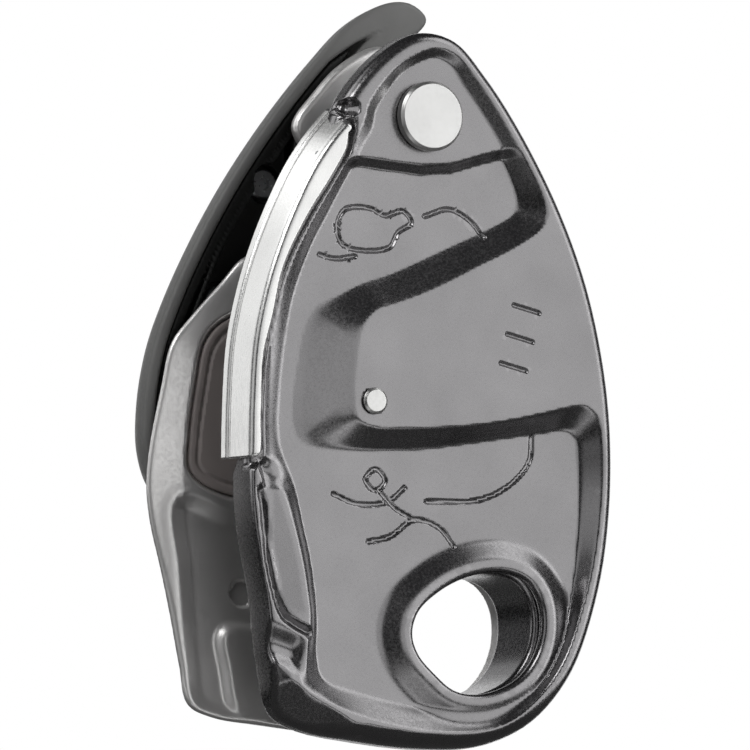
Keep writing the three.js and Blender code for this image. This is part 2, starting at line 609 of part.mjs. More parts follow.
add("moving_side_plate", movingSidePlate(), FINISH.gunmetal());
add("wear_strip", wearStrip(), FINISH.stainless());
for (const [i, side] of ["upper", "lower"].entries()) {
  const front = STRIP_FACE + STRIP_SHEET + 0.1;
  add(`wear_strip_rivet_${side}`, rod(STRIP_RIVETS[i], STRIP_RIVET, front, FRONT_INNER, ROUND_FINE),
    FINISH.steel());
}
add("main_bush", ring(MAIN_RIVET, MAIN_RIVET.shank + GAP, MAIN_BUSH, RIVET_ZONE, FRONT_INNER),
  FINISH.bronze());
add("locating_pin", turned(CAM_AXLE, [
  [0, PIN.front], [PIN.head - 0.5, PIN.front], [PIN.head, PIN.front + 0.3],
  [PIN.head, RIM_FACE - GAP], [PIN.shank, RIM_FACE - GAP], [PIN.shank, FRONT_INNER - 0.1],
  [0, FRONT_INNER - 0.1],
]), FINISH.stainless());

add("cam", camBody(), FINISH.steel());
add("cam_bush", ring(CAM_AXLE, CAM_AXLE.shank + GAP, CAM_BUSH, -4.7, 1.2), FINISH.bronze());

add("handle_lever", handleLever(), FINISH.handleGrey());
add("handle_liner", handleLiner(), FINISH.blackNylon());
add("handle_grip", handleGrip(), FINISH.blackNylon());
add("handle_grip_screw_upper", gripScrew(GRIP_SCREWS[0]), FINISH.steel());
add("handle_grip_screw_lower", gripScrew(GRIP_SCREWS[1]), FINISH.steel());
add("handle_bush", ring(CAM_AXLE, CAM_AXLE.shank + GAP, HANDLE_BUSH, HANDLE_FRONT, 14.6),
  FINISH.bronze());
add("clutch_ring", ring(CAM_AXLE, CLUTCH.inner, CLUTCH.outer, CLUTCH.front, CLUTCH.back), FINISH.bronze());
add("handle_return_spring", torsionSpring(CAM_AXLE, {
  radius: 8.9, wire: 0.9, front: 9.2, back: 10.3, turns: 1.2, leg: 0.6,
}), FINISH.steel());
add("handle_pivot_cap", turned(CAM_AXLE, [
  [0, CAP.front], [CAP.radius, CAP.front], [CAP.radius, CAP.back - 0.5],
  [CAP.radius - 0.6, CAP.back], [0, CAP.back],
]), FINISH.handleGrey());

add("mode_selector", modeSelector(), FINISH.blackNylon());
add("selector_screw", selectorScrew(), FINISH.steel());
add("selector_spring", ring(SELECTOR, WAVE_WASHER.inner, WAVE_WASHER.outer, REAR_FACE + GAP,
  WAVE_WASHER.back), FINISH.steel());
add("selector_detent_ball", solid(new THREE.SphereGeometry(DETENT.radius, 12, 8)
  .translate(DETENT.x, DETENT.y, DETENT.z)), FINISH.steel());

export default device;
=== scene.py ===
"""Looks of an assisted-braking belay device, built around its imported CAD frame.

Every forged, cast or moulded piece is a closed implicit solid. Relief maps over the XZ plane hold
its faces, surface nets turn the solid into a mesh, and Newton steps put the points on the surface.
Turned pieces are revolved and springs are swept. Shapes are in millimetres here.
"""

import json
import math

import bmesh
import bpy
import numpy as np
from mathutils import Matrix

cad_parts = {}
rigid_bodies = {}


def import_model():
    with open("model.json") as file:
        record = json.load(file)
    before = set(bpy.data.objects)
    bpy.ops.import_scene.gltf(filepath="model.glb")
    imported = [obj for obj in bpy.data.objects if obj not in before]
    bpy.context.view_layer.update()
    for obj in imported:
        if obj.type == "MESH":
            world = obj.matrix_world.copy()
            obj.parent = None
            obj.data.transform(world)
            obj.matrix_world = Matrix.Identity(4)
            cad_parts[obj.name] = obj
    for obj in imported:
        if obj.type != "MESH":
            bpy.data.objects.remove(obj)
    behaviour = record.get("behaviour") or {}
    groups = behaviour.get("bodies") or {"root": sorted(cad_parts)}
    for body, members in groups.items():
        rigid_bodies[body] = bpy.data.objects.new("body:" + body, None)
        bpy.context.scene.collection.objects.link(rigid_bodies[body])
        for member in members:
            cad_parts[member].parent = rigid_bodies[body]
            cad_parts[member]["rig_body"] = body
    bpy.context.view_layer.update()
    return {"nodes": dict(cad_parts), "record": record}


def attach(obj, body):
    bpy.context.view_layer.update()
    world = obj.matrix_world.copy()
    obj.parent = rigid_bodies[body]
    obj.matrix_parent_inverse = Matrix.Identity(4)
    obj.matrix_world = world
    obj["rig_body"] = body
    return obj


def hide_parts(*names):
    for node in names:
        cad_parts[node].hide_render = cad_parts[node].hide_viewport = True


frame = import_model()

MM = 0.001
SLOTS = {part["node"]: part["material_slot"] for part in frame["record"]["subparts"]}

# ------ depths along Y, in mm
# The front of the device faces -Y.
RIM = -11.5
COLLAR = -10.6
RIVET_ZONE = -10.3
HAND_ZONE = -8.8
CLIMBER_ZONE = -8.6
FRONT_INNER = -6.2
FLANGE_END = -4.5
SHEET = 2.4
STRIP_FACE = -11.3
STRIP_END = -4.6
REAR_INNER = 5.6
REAR_FACE = 8.4
WINDOW_FLOOR = 7.3
HANDLE_FRONT = 8.9
HANDLE_FLOOR = 15.0
GRIP_SEAT = 16.6
HANDLE_BACK = 17.5

# ------ places, as (x, z) in mm
MAIN_RIVET = (-8.6, 77.2)
CAM_AXLE = (-18.1, 34.1)
CAM_CENTRE = (-1.5, 41.5)
CAM_TAIL = (-28.6, 34.1)
CAM_POCKET = (0.5, 42)
STOP_PIN = (-30.7, 28.9)
SELECTOR = (7.0, 58.0)
PANEL_HOLE = (-30.9, 6.1)
FRICTION_RIVETS = ((-17.4, 67.2), (3.0, 71.4))
STRIP_RIVETS = ((-26.2, 70.6), (-37.4, 38.0))
GRIP_SCREWS = ((-24.4, 68.5), (-31.8, 50.5))
DETENT = (SELECTOR[0], SELECTOR[1] - 6.2)
NOTCH = (-21.8, 78.0)  # a small round relief at the strip's upper end
NOTCH_MOUTH = (-22.4, 77.8)

# ------ other sizes, in mm
COLLAR_WALL = 2.2  # wall of the collar that lines the attachment hole
STRIP_FOOT = 25.0
STRIP_WALL = 1.3
STRIP_DRAFT = 0.30  # how much the strip's side wall leans outwards per mm of depth
STRIP_SEAT = -9.8  # floor of the rebate under the strip
SEAT_DEPTH = 2.4
NOTCH_FLOOR = -8.6
NOTCH_DEPTH = 3.4
ENGRAVING = 0.42  # depth of the engraved lines, and half their width
COLLAR_SLOPE = 3.2  # width of the slope round the attachment hole
BROW_DROP = 1.9
PANEL_TILT = 0.16
GROOVE_CUT = 1.5
GROOVE_HALF_WIDTH = 0.9
HOLLOW_DROP = 0.8
BEVEL_SLOPE = 0.8
MARGIN_SLOPE = 0.27
MARGIN_WIDTH = 5.5
PANEL_DROP = 1.3
HANDLE_HUB = 13.2
FIT = 0.3  # room round a shank in its hole
MAIN_SHANK = 3.0
MAIN_HOLE = MAIN_SHANK + FIT
MAIN_HEAD = 5.25
HEAD_FRONT = -12.3
AXLE_SHANK = 3.8
AXLE_HOLE = AXLE_SHANK + FIT
AXLE_GROOVE = 3.1
STOP_SHANK = 1.8
SELECTOR_SHANK = 1.8
SHOE_SHANK = 1.5
GRIP_SHANK = 1.4
DETENT_BALL = 0.6
DETENT_DEPTH = 9.1
CAM_GROOVE = 13.0  # radius of the cam at the bottom of its rope groove
CAM_LIPS = 4.0  # how far its lips stand out of the groove
CAM_HUB = 10.0
SHOE_INNER = 24.2
SHOE_OUTER = 27.4
SHOE_FOOT = 32.6
SPRING_COIL = 8.9
CLUTCH_TEETH = 24
KNOB_FLUTES = 24

# ------ outlines, as (x, z) in mm
MOVING_PLATE = [
    (-10, 89.8), (-4, 88.9), (1.3, 83.7), (6.8, 76.3), (13.2, 65.3), (17.9, 54.2),
    (20.8, 43.2), (22.3, 32), (22.2, 19), (20.3, 7), (15.8, -5.3), (9.5, -13),
    (2, -16.6), (-7.5, -17.4), (-19, -16.6), (-28.5, -15), (-32.6, -12.6), (-34.6, -5),
    (-35.9, 5), (-37.9, 15.5), (-38.4, 24), (-38, 34), (-37.2, 43.5), (-34.7, 54),
    (-30.6, 63.9), (-24.8, 72.8), (-22.4, 79.4), (-16.3, 86.3),
]

ATTACHMENT_HOLE = [
    (-10.9, -0.4), (-9.9, 2.9), (-6.9, 5.7), (-3.2, 7.8), (0.8, 9), (5, 9.2), (8.4, 7.9),
    (10.4, 5.2), (10.9, 1.2), (9.8, -2.8), (7.2, -6.2), (3.4, -8.3), (-0.6, -9.1),
    (-4.1, -8.5), (-7.2, -6.2), (-9.9, -3.4),
]

# Upper edge of the recess walls: the rim, the K-shaped band and the strip's right edge.
RECESS_TOP = [
    (-7.9, 87.5), (-4.2, 86.8), (-1, 83.7), (2.6, 79), (5.8, 74.2), (8.4, 70), (10.5, 66.3),
    (11.2, 63.7), (10.4, 61.4), (5.3, 57.9), (0, 55.3), (-5.3, 52.6), (-10, 50.5),
    (-14.7, 48.8), (-17.6, 47.8), (-20, 45), (-21, 40), (-21.3, 34.7), (-20.8, 31.5),
    (-17.8, 30.2), (-13.2, 30.2), (-7.9, 30.5), (0, 31.3), (5.3, 32.2), (10.5, 33.4),
    (15.3, 34.6), (17.6, 34.8), (19.8, 33), (20.5, 29.5), (20.6, 24.2), (20, 17.9),
    (19.2, 12.6), (17.9, 7.4), (16.3, 2.6), (15, -1), (13, -5), (9, -10), (3.6, -14),
    (-2.6, -15.2), (-10, -15), (-20, -13.2), (-26, -11), (-29.2, -9.2), (-29.8, -6),
    (-28.4, 0.5), (-28.9, 5), (-30, 11), (-32, 18), (-33.8, 22), (-36.3, 25.5), (-36.9, 30),
    (-36.6, 35), (-36, 41), (-34.6, 48), (-32.8, 53.7), (-29.5, 61), (-26.8, 65.3),
    (-24, 69.4), (-22.2, 73), (-20, 75.8), (-18.9, 79), (-16.3, 82.6), (-13.2, 85.3),
]

# Foot of the recess walls.
RECESS_FOOT = [
    (-7.2, 86.2), (-4.6, 85), (-3, 82.6), (-0.3, 79.1), (2.4, 75.4), (4.6, 71.6),
    (6.3, 68), (7, 65), (6.6, 63.6), (1.4, 60.6), (-3.3, 58.5), (-8.6, 56.1), (-14.4, 53.5),
    (-19.1, 51.9), (-23.3, 50), (-26.5, 48.5), (-28.3, 45.6), (-29.4, 41.2), (-30.4, 34.7),
    (-30.3, 30.5), (-29.2, 27.9), (-26.9, 26.9), (-23.9, 26.8), (-17, 26.9), (-8.6, 27.4),
    (-1.2, 28.5), (6.7, 29.8), (11.9, 30.6), (15.1, 31.1), (17, 30), (17.4, 26.8),
    (17.6, 19), (17.3, 13.7), (16.8, 8.4), (15.8, 3), (13.9, -2.4), (10.4, -7.4),
    (4.6, -10.5), (-1.2, -11.3), (-8.6, -11), (-14.9, -10), (-21.2, -8.6),
    (-25.2, -7.4), (-26.4, -4), (-26.4, 1), (-26.8, 6), (-27.6, 11), (-28.6, 15),
    (-29.5, 19.3), (-30.5, 22.9), (-31.9, 26.1), (-32.5, 29.8), (-32.3, 35), (-31.8, 40.3),
    (-31, 45.6), (-30.1, 49.8), (-27.5, 56.6), (-24.9, 61.3), (-22.3, 66.1), (-20.4, 69.4),
    (-19.2, 72.2), (-17.7, 74.8), (-17.2, 77.5), (-15.6, 80.1), (-13, 83.3), (-9.8, 85.4),
]

# Part of the recess that lies higher, under the head of the main rivet.
RIVET_STEP = [
    (-60, 69.2), (-24, 69.4), (-19.4, 70.1), (-14.7, 69.7), (-9.4, 69.3), (-4.1, 69.8),
    (1.1, 71.4), (5, 72.4), (30, 74), (30, 100), (-60, 100),
]

# The groove along the left and lower edges of the raised panel at the lower left.
PANEL_GROOVE = [
    (-36.7, 20.2), (-36.3, 17.9), (-35.9, 14), (-35.6, 10.6), (-35, 7.4), (-34.2, 4.5),
    (-33.4, 2.4), (-32.3, 1.1), (-30.6, 0), (-28.8, -0.8),
]

FIXED_PLATE = [
    (-8.5, 89.4), (-4.2, 88.2), (0.8, 83), (6.2, 75.8), (12.6, 64.8), (17.3, 53.8),
    (20.2, 42.8), (21.7, 31.8), (21.6, 19), (19.7, 7.2), (15.2, -4.8), (9, -12),
    (0, -14.8), (-12, -14.9), (-27.9, -13.6), (-36, -12.6), (-39.9, -10.8), (-41.4, -5),
    (-42.9, 2.1), (-44.6, 9.3), (-46.4, 16.4), (-47, 22.1), (-46.4, 28), (-44.6, 36.4),
    (-42.8, 43.5), (-39.3, 47.9), (-34.6, 52.9), (-31, 56.6), (-26, 58), (-21, 61),
    (-18.6, 66.5), (-20.4, 72), (-22.6, 76.8), (-19, 82), (-14.5, 86.5),
]

SIDE_WINDOW = [
    (-27.5, 49), (-34, 47.2), (-37.5, 43.6), (-39.1, 37), (-40.3, 28.6), (-40.2, 24.4),
    (-37.4, 21.8), (-30, 20.4), (-27.2, 23), (-26.6, 36),
]

LOWER_PANEL = [
    (-41.4, 19.2), (-40.7, 10), (-40.2, 4), (-39.3, -4), (-38, -10.6), (-30, -11.6),
    (-20, -11.6), (-20, 2), (-25, 15.4), (-33.5, 17.2),
]
PANEL_RIB = [
    (-34.9, -0.6), (-33.8, 0.9), (-31, 1.2), (-28, 0.6), (-26, -4), (-27, -12.6), (-32, -12.6),
    (-34.2, -5),
]

STRIP_OUTER = [
    (-22.9, 78.2), (-26.5, 74.2), (-29.7, 69.6), (-32.3, 64.7), (-34.9, 58.9), (-37.4, 51.8),
    (-39.4, 43), (-40.1, 34), (-40.3, STRIP_FOOT),
]
STRIP_INNER = [
    (-37.3, STRIP_FOOT), (-36.8, 31.5), (-36.5, 40), (-34.9, 46.3), (-33.1, 53.7),
    (-29.4, 61), (-24.6, 68.3), (-22.5, 72.1), (-22.2, 75), (-22.2, 76.8),
]

HANDLE = [
    (1.6, 94.2), (-1, 96.6), (-5, 96.6), (-11.3, 93.4), (-17.4, 87.3), (-22.8, 81),
    (-27.4, 75), (-32, 68.3), (-36.9, 60), (-41.5, 50.7), (-44.4, 43), (-46, 34),
    (-45.8, 26.6), (-43.4, 21), (-38, 18.4), (-28, 18.2), (-16, 18.9), (-7.5, 23.5),
    (-3.4, 31), (-3.6, 38.5), (-7.2, 46), (-11.5, 53), (-14.6, 60), (-16.2, 67),
    (-16.6, 74), (-14.4, 81), (-9, 86.8), (-2, 90.4),
]
LINER_RIB = [(-39, 43.7), (-36.8, 49), (-33.5, 56.9), (-31, 61.6), (-27.8, 66.8), (-19.7, 77.9)]
GRIP = [
    (-10.4, 90), (-15.7, 85.2), (-20.8, 79.2), (-25.6, 73.2), (-30.2, 66.8), (-34.8, 58.6),
    (-38.6, 49.8), (-37.6, 45), (-33.4, 43.2), (-28.2, 46.5), (-23.5, 54.5), (-20.5, 62.5),
    (-19, 70), (-18.6, 76), (-16, 82), (-10.9, 87.2),
]

CAM_WEB = [(-22, 43.2), (-6, 54), (-2, 54.4), (-2, 28.6), (-5, 28.8), (-15, 24.6)]

# Pointer of the mode selector, around the selector's own axis.
POINTER = [(-2.2, -6.6), (2.2, -6.6), (3.0, 0), (2.2, 7), (0, 10.4), (-2.2, 7), (-3.0, 0)]


# ------ curves and relief maps
def smooth_loop(points, per_span=8, closed=True):
    """Centripetal Catmull-Rom curve through the points, as an array of points."""
    p = np.asarray(points, float)
    count = len(p)
    if not closed:
        p = np.vstack([2 * p[0] - p[1], p, 2 * p[-1] - p[-2]])
    spans = range(count) if closed else range(1, count)
    t = (np.arange(per_span) / per_span)[:, None]
    out = []
    for i in spans:
        a, b, c, d = (p[(i + k) % len(p)] for k in (-1, 0, 1, 2))
        da, db, dc = (math.sqrt(np.linalg.norm(v)) + 1e-9 for v in (b - a, c - b, d - c))
        start = ((b - a) / da - (c - a) / (da + db) + (c - b) / db) * db
        end = ((c - b) / db - (d - b) / (db + dc) + (d - c) / dc) * db
        h0 = 2 * t**3 - 3 * t**2 + 1
        h1 = t**3 - 2 * t**2 + t
        h2 = 3 * t**2 - 2 * t**3
        h3 = t**3 - t**2
        out.append(h0 * b + h1 * start + h2 * c + h3 * end)
    if not closed:
        out.append(p[-2:-1])
    return np.vstack(out)


class Chart:
    """A square grid over a stretch of the XZ plane, on which relief maps are stored."""

    def __init__(self, low, high, step):
        self.low = np.asarray(low, float)
        self.step = step
        xs = np.arange(low[0], high[0] + step, step)
        zs = np.arange(low[1], high[1] + step, step)
        self.x, self.z = np.meshgrid(xs, zs, indexing="ij")

    def sample(self, field, x, z):
        """The map's value at any points, by bilinear interpolation."""
        u = np.clip((x - self.low[0]) / self.step, 0, field.shape[0] - 1.001)
        v = np.clip((z - self.low[1]) / self.step, 0, field.shape[1] - 1.001)
        i, j = u.astype(int), v.astype(int)
        u, v = u - i, v - j
        near = field[i, j] * (1 - v) + field[i, j + 1] * v
        far = field[i + 1, j] * (1 - v) + field[i + 1, j + 1] * v
        return near * (1 - u) + far * u

    def depth_inside(self, loop):
        """Distance to a closed loop, positive inside it."""
        best = np.full(self.x.shape, 1e9)
        inside = np.zeros(self.x.shape, bool)
        for a, b in zip(loop, np.roll(loop, -1, axis=0)):
            ab = b - a
            px, pz = self.x - a[0], self.z - a[1]
            along = np.clip((px * ab[0] + pz * ab[1]) / max(ab @ ab, 1e-12), 0, 1)
            best = np.minimum(best, (px - along * ab[0]) ** 2 + (pz - along * ab[1]) ** 2)
            if a[1] != b[1]:
                crosses = (a[1] > self.z) != (b[1] > self.z)
                inside ^= crosses & (px < ab[0] * pz / ab[1])
        best = np.sqrt(best)
        return np.where(inside, best, -best)

    def stroke_distance(self, lines, reach):
        """Distance to a set of open lines, up to the reach."""
        best = np.full(self.x.shape, float(reach))
        for line in lines:
            for a, b in zip(line[:-1], line[1:]):
                low = (np.minimum(a, b) - reach - self.low) / self.step
                high = (np.maximum(a, b) + reach - self.low) / self.step
                i0, j0 = np.maximum(low.astype(int), 0)
                i1, j1 = np.maximum(high.astype(int) + 2, 0)
                window = (slice(i0, i1), slice(j0, j1))
                px, pz = self.x[window] - a[0], self.z[window] - a[1]
                ab = b - a
                along = np.clip((px * ab[0] + pz * ab[1]) / max(ab @ ab, 1e-12), 0, 1)
                gap = np.hypot(px - along * ab[0], pz - along * ab[1])
                best[window] = np.minimum(best[window], gap)
        return best


def twin_charts(low, high, step):
    """A fine chart, and a function that measures distances inside an outline for it."""
    coarse = Chart(low, high, 0.4)
    fine = Chart(low, high, step)

    def distance(points, per_span=6):
        loop = smooth_loop(points, per_span) if per_span else np.asarray(points, float)
        return coarse.sample(coarse.depth_inside(loop), fine.x, fine.z)

    return fine, distance


def soften(relief, passes=6):
    """Blurs a map a little, so that its grid can't be seen in reflections."""
    for _ in range(passes):
        for axis in (0, 1):
            around = np.roll(relief, 1, axis) + np.roll(relief, -1, axis)
            relief = 0.5 * relief + 0.25 * around
    return relief


def smooth_max(a, b, radius):
    return np.maximum(a, b) + np.maximum(radius - np.abs(a - b), 0) ** 2 / (4 * radius)


def smooth_min(a, b, radius):
    return -smooth_max(-a, -b, radius)


def ramp(t, top=0.2, foot=0.2):
    """0 before the wall, 1 after it, straight between, with rounded ends."""
    return smooth_min(smooth_max(t, 0.0 * t, top), 0.0 * t + 1.0, foot)


def steepness(chart, relief):
    """Factor that turns a height difference into a distance from the slope."""
    gx, gz = np.gradient(relief, chart.step)
    return 1 / np.sqrt(1 + np.minimum(gx * gx + gz * gz, 6.0))


# ------ implicit solids to meshes
def surface_nets(values, low, step):
    """Points and quads on the zero level of a sampled field, negative inside."""
    inside = values < 0
    shape = np.array(values.shape) - 1
    corners = [(i, j, k) for i in (0, 1) for j in (0, 1) for k in (0, 1)]

    def corner(array, c):
        return array[tuple(slice(o, o + n) for o, n in zip(c, shape))]

    filled = sum(corner(inside, c).astype(np.int8) for c in corners)
    active = (filled > 0) & (filled < 8)
    cells = np.argwhere(active)
    index = np.full(active.shape, -1)
    index[active] = np.arange(len(cells))
    at_corner = {c: values[tuple((cells + c).T)] for c in corners}
    total = np.zeros((len(cells), 3))
    hits = np.zeros(len(cells))
    for a in corners:
        for axis in range(3):
            if a[axis]:
                continue
            b = tuple(1 if k == axis else a[k] for k in range(3))
            va, vb = at_corner[a], at_corner[b]
            crossed = (va < 0) != (vb < 0)
            spot = np.tile(np.array(a, float), (len(cells), 1))
            spot[:, axis] = va / np.where(va == vb, 1, va - vb)
            total[crossed] += spot[crossed]
            hits += crossed
    points = np.asarray(low) + (cells + total / hits[:, None]) * step

    quads = []
    for axis in range(3):
        u, v = (axis + 1) % 3, (axis + 2) % 3
        body = [slice(1, -1)] * 3
        body[axis] = slice(0, -1)
        ahead = [slice(1, -1)] * 3
        ahead[axis] = slice(1, None)
        here, there = inside[tuple(body)], inside[tuple(ahead)]
        for leaving in (True, False):
            spots = np.argwhere(here & ~there if leaving else ~here & there)
            spots[:, u] += 1
            spots[:, v] += 1
            ring = []
            for du, dv in ((-1, -1), (0, -1), (0, 0), (-1, 0)):
                cell = spots.copy()
                cell[:, u] += du
                cell[:, v] += dv
                ring.append(index[tuple(cell.T)])
            quads.append(np.stack(ring if leaving else ring[::-1], axis=1))
    return points, np.vstack(quads)


def gradient(field, points, reach=0.06):
    out = np.empty_like(points)
    for axis in range(3):
        shift = np.zeros(3)
        shift[axis] = reach
        out[:, axis] = (field(points + shift) - field(points - shift)) / (2 * reach)
    return out


def settle(field, points, rounds=3):
    """Newton steps that put the points on the field's zero surface."""
    for _ in range(rounds):
        slope = gradient(field, points)
        size = np.maximum((slope * slope).sum(axis=1), 0.05)
        move = -(field(points) / size)[:, None] * slope
        length = np.linalg.norm(move, axis=1, keepdims=True)
        points = points + move * np.minimum(1, 0.3 / np.maximum(length, 1e-9))
    return points


def add_object(name, data):
    obj = bpy.data.objects.new(name, data)
    bpy.context.scene.collection.objects.link(obj)
    return obj


def mesh_object(name, points, faces):
    """A new object from points in millimetres and faces of three or four corners."""
    mesh = bpy.data.meshes.new(name)
    mesh.from_pydata((np.asarray(points) * MM).tolist(), [], [tuple(f) for f in faces])
    mesh.polygons.foreach_set("use_smooth", [True] * len(mesh.polygons))
    mesh.update()
    return add_object(name, mesh)


def install(piece, node):
    """Makes the piece stand for a CAD node: it moves with the node's body and has its finish."""
    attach(piece, frame["nodes"][node]["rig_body"])
    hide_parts(node)
    piece.data.materials.append(MATERIALS[SLOTS[node]])


def refine(obj, field, wanted):
    """Cuts the faces where wanted(points) is true into smaller ones that lie on the surface."""
    bm = bmesh.new()
    bm.from_mesh(obj.data)
    for _ in range(2):
        centres = np.array([tuple(f.calc_center_median()) for f in bm.faces]) / MM
        chosen = [f for f, hit in zip(list(bm.faces), wanted(centres)) if hit]
        edges = list({e for f in chosen for e in f.edges})
        bmesh.ops.subdivide_edges(bm, edges=edges, cuts=1, use_grid_fill=True)
    bm.to_mesh(obj.data)
    bm.free()
    points = settle(field, np.array([tuple(v.co) for v in obj.data.vertices]) / MM)
    obj.data.vertices.foreach_set("co", (points * MM).ravel())
    obj.data.polygons.foreach_set("use_smooth", [True] * len(obj.data.polygons))
    return points


def carve(name, node, field, low, high, step, detail=None):
    """A piece from an implicit solid, with finer faces where detail(points) is true.

    The low and high corners bound the solid, and the step is the size of its faces.
    """
    low = np.asarray(low, float) - 2 * step
    high = np.asarray(high, float) + 2 * step
    axes = [np.arange(a, b + step, step) for a, b in zip(low, high)]
    grid = np.stack(np.meshgrid(*axes, indexing="ij"), axis=-1)
    values = field(grid.reshape(-1, 3)).reshape(grid.shape[:3])
    points, quads = surface_nets(values, low, step)
    points = settle(field, points)
    obj = mesh_object(name, points, quads.tolist())
    if detail is not None:
        points = refine(obj, field, detail)
    normals = gradient(field, points)
    normals /= np.maximum(np.linalg.norm(normals, axis=1, keepdims=True), 1e-9)
    obj.data.normals_split_custom_set_from_vertices(normals.tolist())
    obj.data.update()
    install(obj, node)


def plate_field(chart, front, back, edge, edge_round, back_round=0.5):
    """A plate between two relief maps, inside an outline map; edge_round may be a map too."""
    front_slope = steepness(chart, front)
    back_slope = steepness(chart, back)

    def field(p):
        x, y, z = p.T
        ahead = (chart.sample(front, x, z) - y) * chart.sample(front_slope, x, z)
        behind = (y - chart.sample(back, x, z)) * chart.sample(back_slope, x, z)
        side = -chart.sample(edge, x, z)
        corner = chart.sample(edge_round, x, z) if np.ndim(edge_round) else edge_round
        return smooth_max(smooth_max(ahead, side, corner), behind, back_round)

    return field


# ------ fields of simple solids
def between(y, front, back):
    """Field of a slab, negative between two values."""
    return np.maximum(front - y, y - back)


def away(p, place):
    """Distance from an axis parallel to Y."""
    return np.hypot(p[:, 0] - place[0], p[:, 2] - place[1])


def bored(p, solid, place, radius, start=-99.0, end=99.0):
    """The solid without a round bore between two depths."""
    bore = np.maximum(away(p, place) - radius, between(p[:, 1], start, end))
    return np.maximum(solid, -bore)


# ------ moving side plate
def pictograms():
    """Engraved rope path, a plain mitten, a plain stick climber and three plain bars."""
    strokes = [
        [(-8, 19.6), (1, 20.2), (6.3, 22.8), (9.3, 26.2), (9.8, 30)],  # lower rope
        [(-8.4, 62.4), (-4.2, 63.6), (-0.4, 61.8), (1.4, 59.6)],  # upper rope
        [(-26, 55.9), (-23.4, 55.4), (-20, 55.9)],  # its tail
        [(-15.6, 20.6), (-13.2, 18.4), (-10, 16.8)],  # body
        [(-23.6, 20.2), (-19.4, 18.8), (-14.4, 19.4), (-11.6, 21.6)],  # arms
        [(-17.8, 13.2), (-14, 14.2), (-10, 16.8), (-5.6, 15.6), (-3.4, 13)],  # legs
    ]
    mitten = [(-21.8, 57.4), (-14.4, 57.4), (-12.8, 59.8), (-10.6, 61.4), (-12, 63), (-15, 62.2),
              (-17.6, 63.2), (-21.8, 62.8), (-23, 60)]
    head = [(-16.4, 24.2), (-18.2, 22.6), (-16.6, 20.9), (-14.9, 22.5)]
    lines = [smooth_loop(stroke, closed=False) for stroke in strokes]
    for loop in map(smooth_loop, (mitten, head)):
        lines.append(np.vstack([loop, loop[:1]]))
    for k in range(3):
        lines.append(np.array([(3.2 + 1.1 * k, 40.6 + 4.4 * k), (7.4 + 1.1 * k, 39.6 + 4.4 * k)]))
    return lines


def lower_left_relief(chart, edge, rim_share):
    """How much lower than the rim the panel, groove, hollow and bevels at the lower left lie."""
    x, z = chart.x, chart.z
    panel_top = 20.3 + 1.7 * np.clip(-35.7 - x, 0, 3)
    fade = 0.8 + 0.9 * np.clip(x + 36.5, 0, 6)
    brow = BROW_DROP * ramp((z - panel_top) / 4.2, 0.12) * ramp((25.3 - z) / fade)
    left = ramp((-24 - x) / 2)
    beside_groove = ramp((edge - 1.7) / 0.8) * ramp((z - 0.5) / 2)
    tilt = PANEL_TILT * np.clip(-28.6 - x, 0, 6) * beside_groove
    groove = smooth_loop(PANEL_GROOVE, closed=False)
    from_groove = chart.stroke_distance([groove], 3.0) / GROOVE_HALF_WIDTH
    cut = GROOVE_CUT * np.clip(1 - from_groove, 0, 1) ** 1.2
    fold = np.clip((z + 3.4 + 0.3 * (x + 33)) / 4.0, -1, 1)
    hollow = HOLLOW_DROP * (1 + np.cos(np.pi * fold)) * ramp((-29.2 - x) / 1.8, 0.3, 0.3)
    corner = BEVEL_SLOPE * np.clip(-0.504 * (x + 34.4) - 0.864 * (z + 6.4), 0, 7)
    lower_rim = BEVEL_SLOPE * np.clip(2.3 - edge, 0, 3) * ramp((-3.5 - z) / 6, 0.3, 0.3)
    bevel = np.maximum(corner, lower_rim * ramp((16 - x) / 12, 0.3, 0.3))
    return rim_share * (left * (brow + tilt) + cut + np.maximum(hollow, bevel))


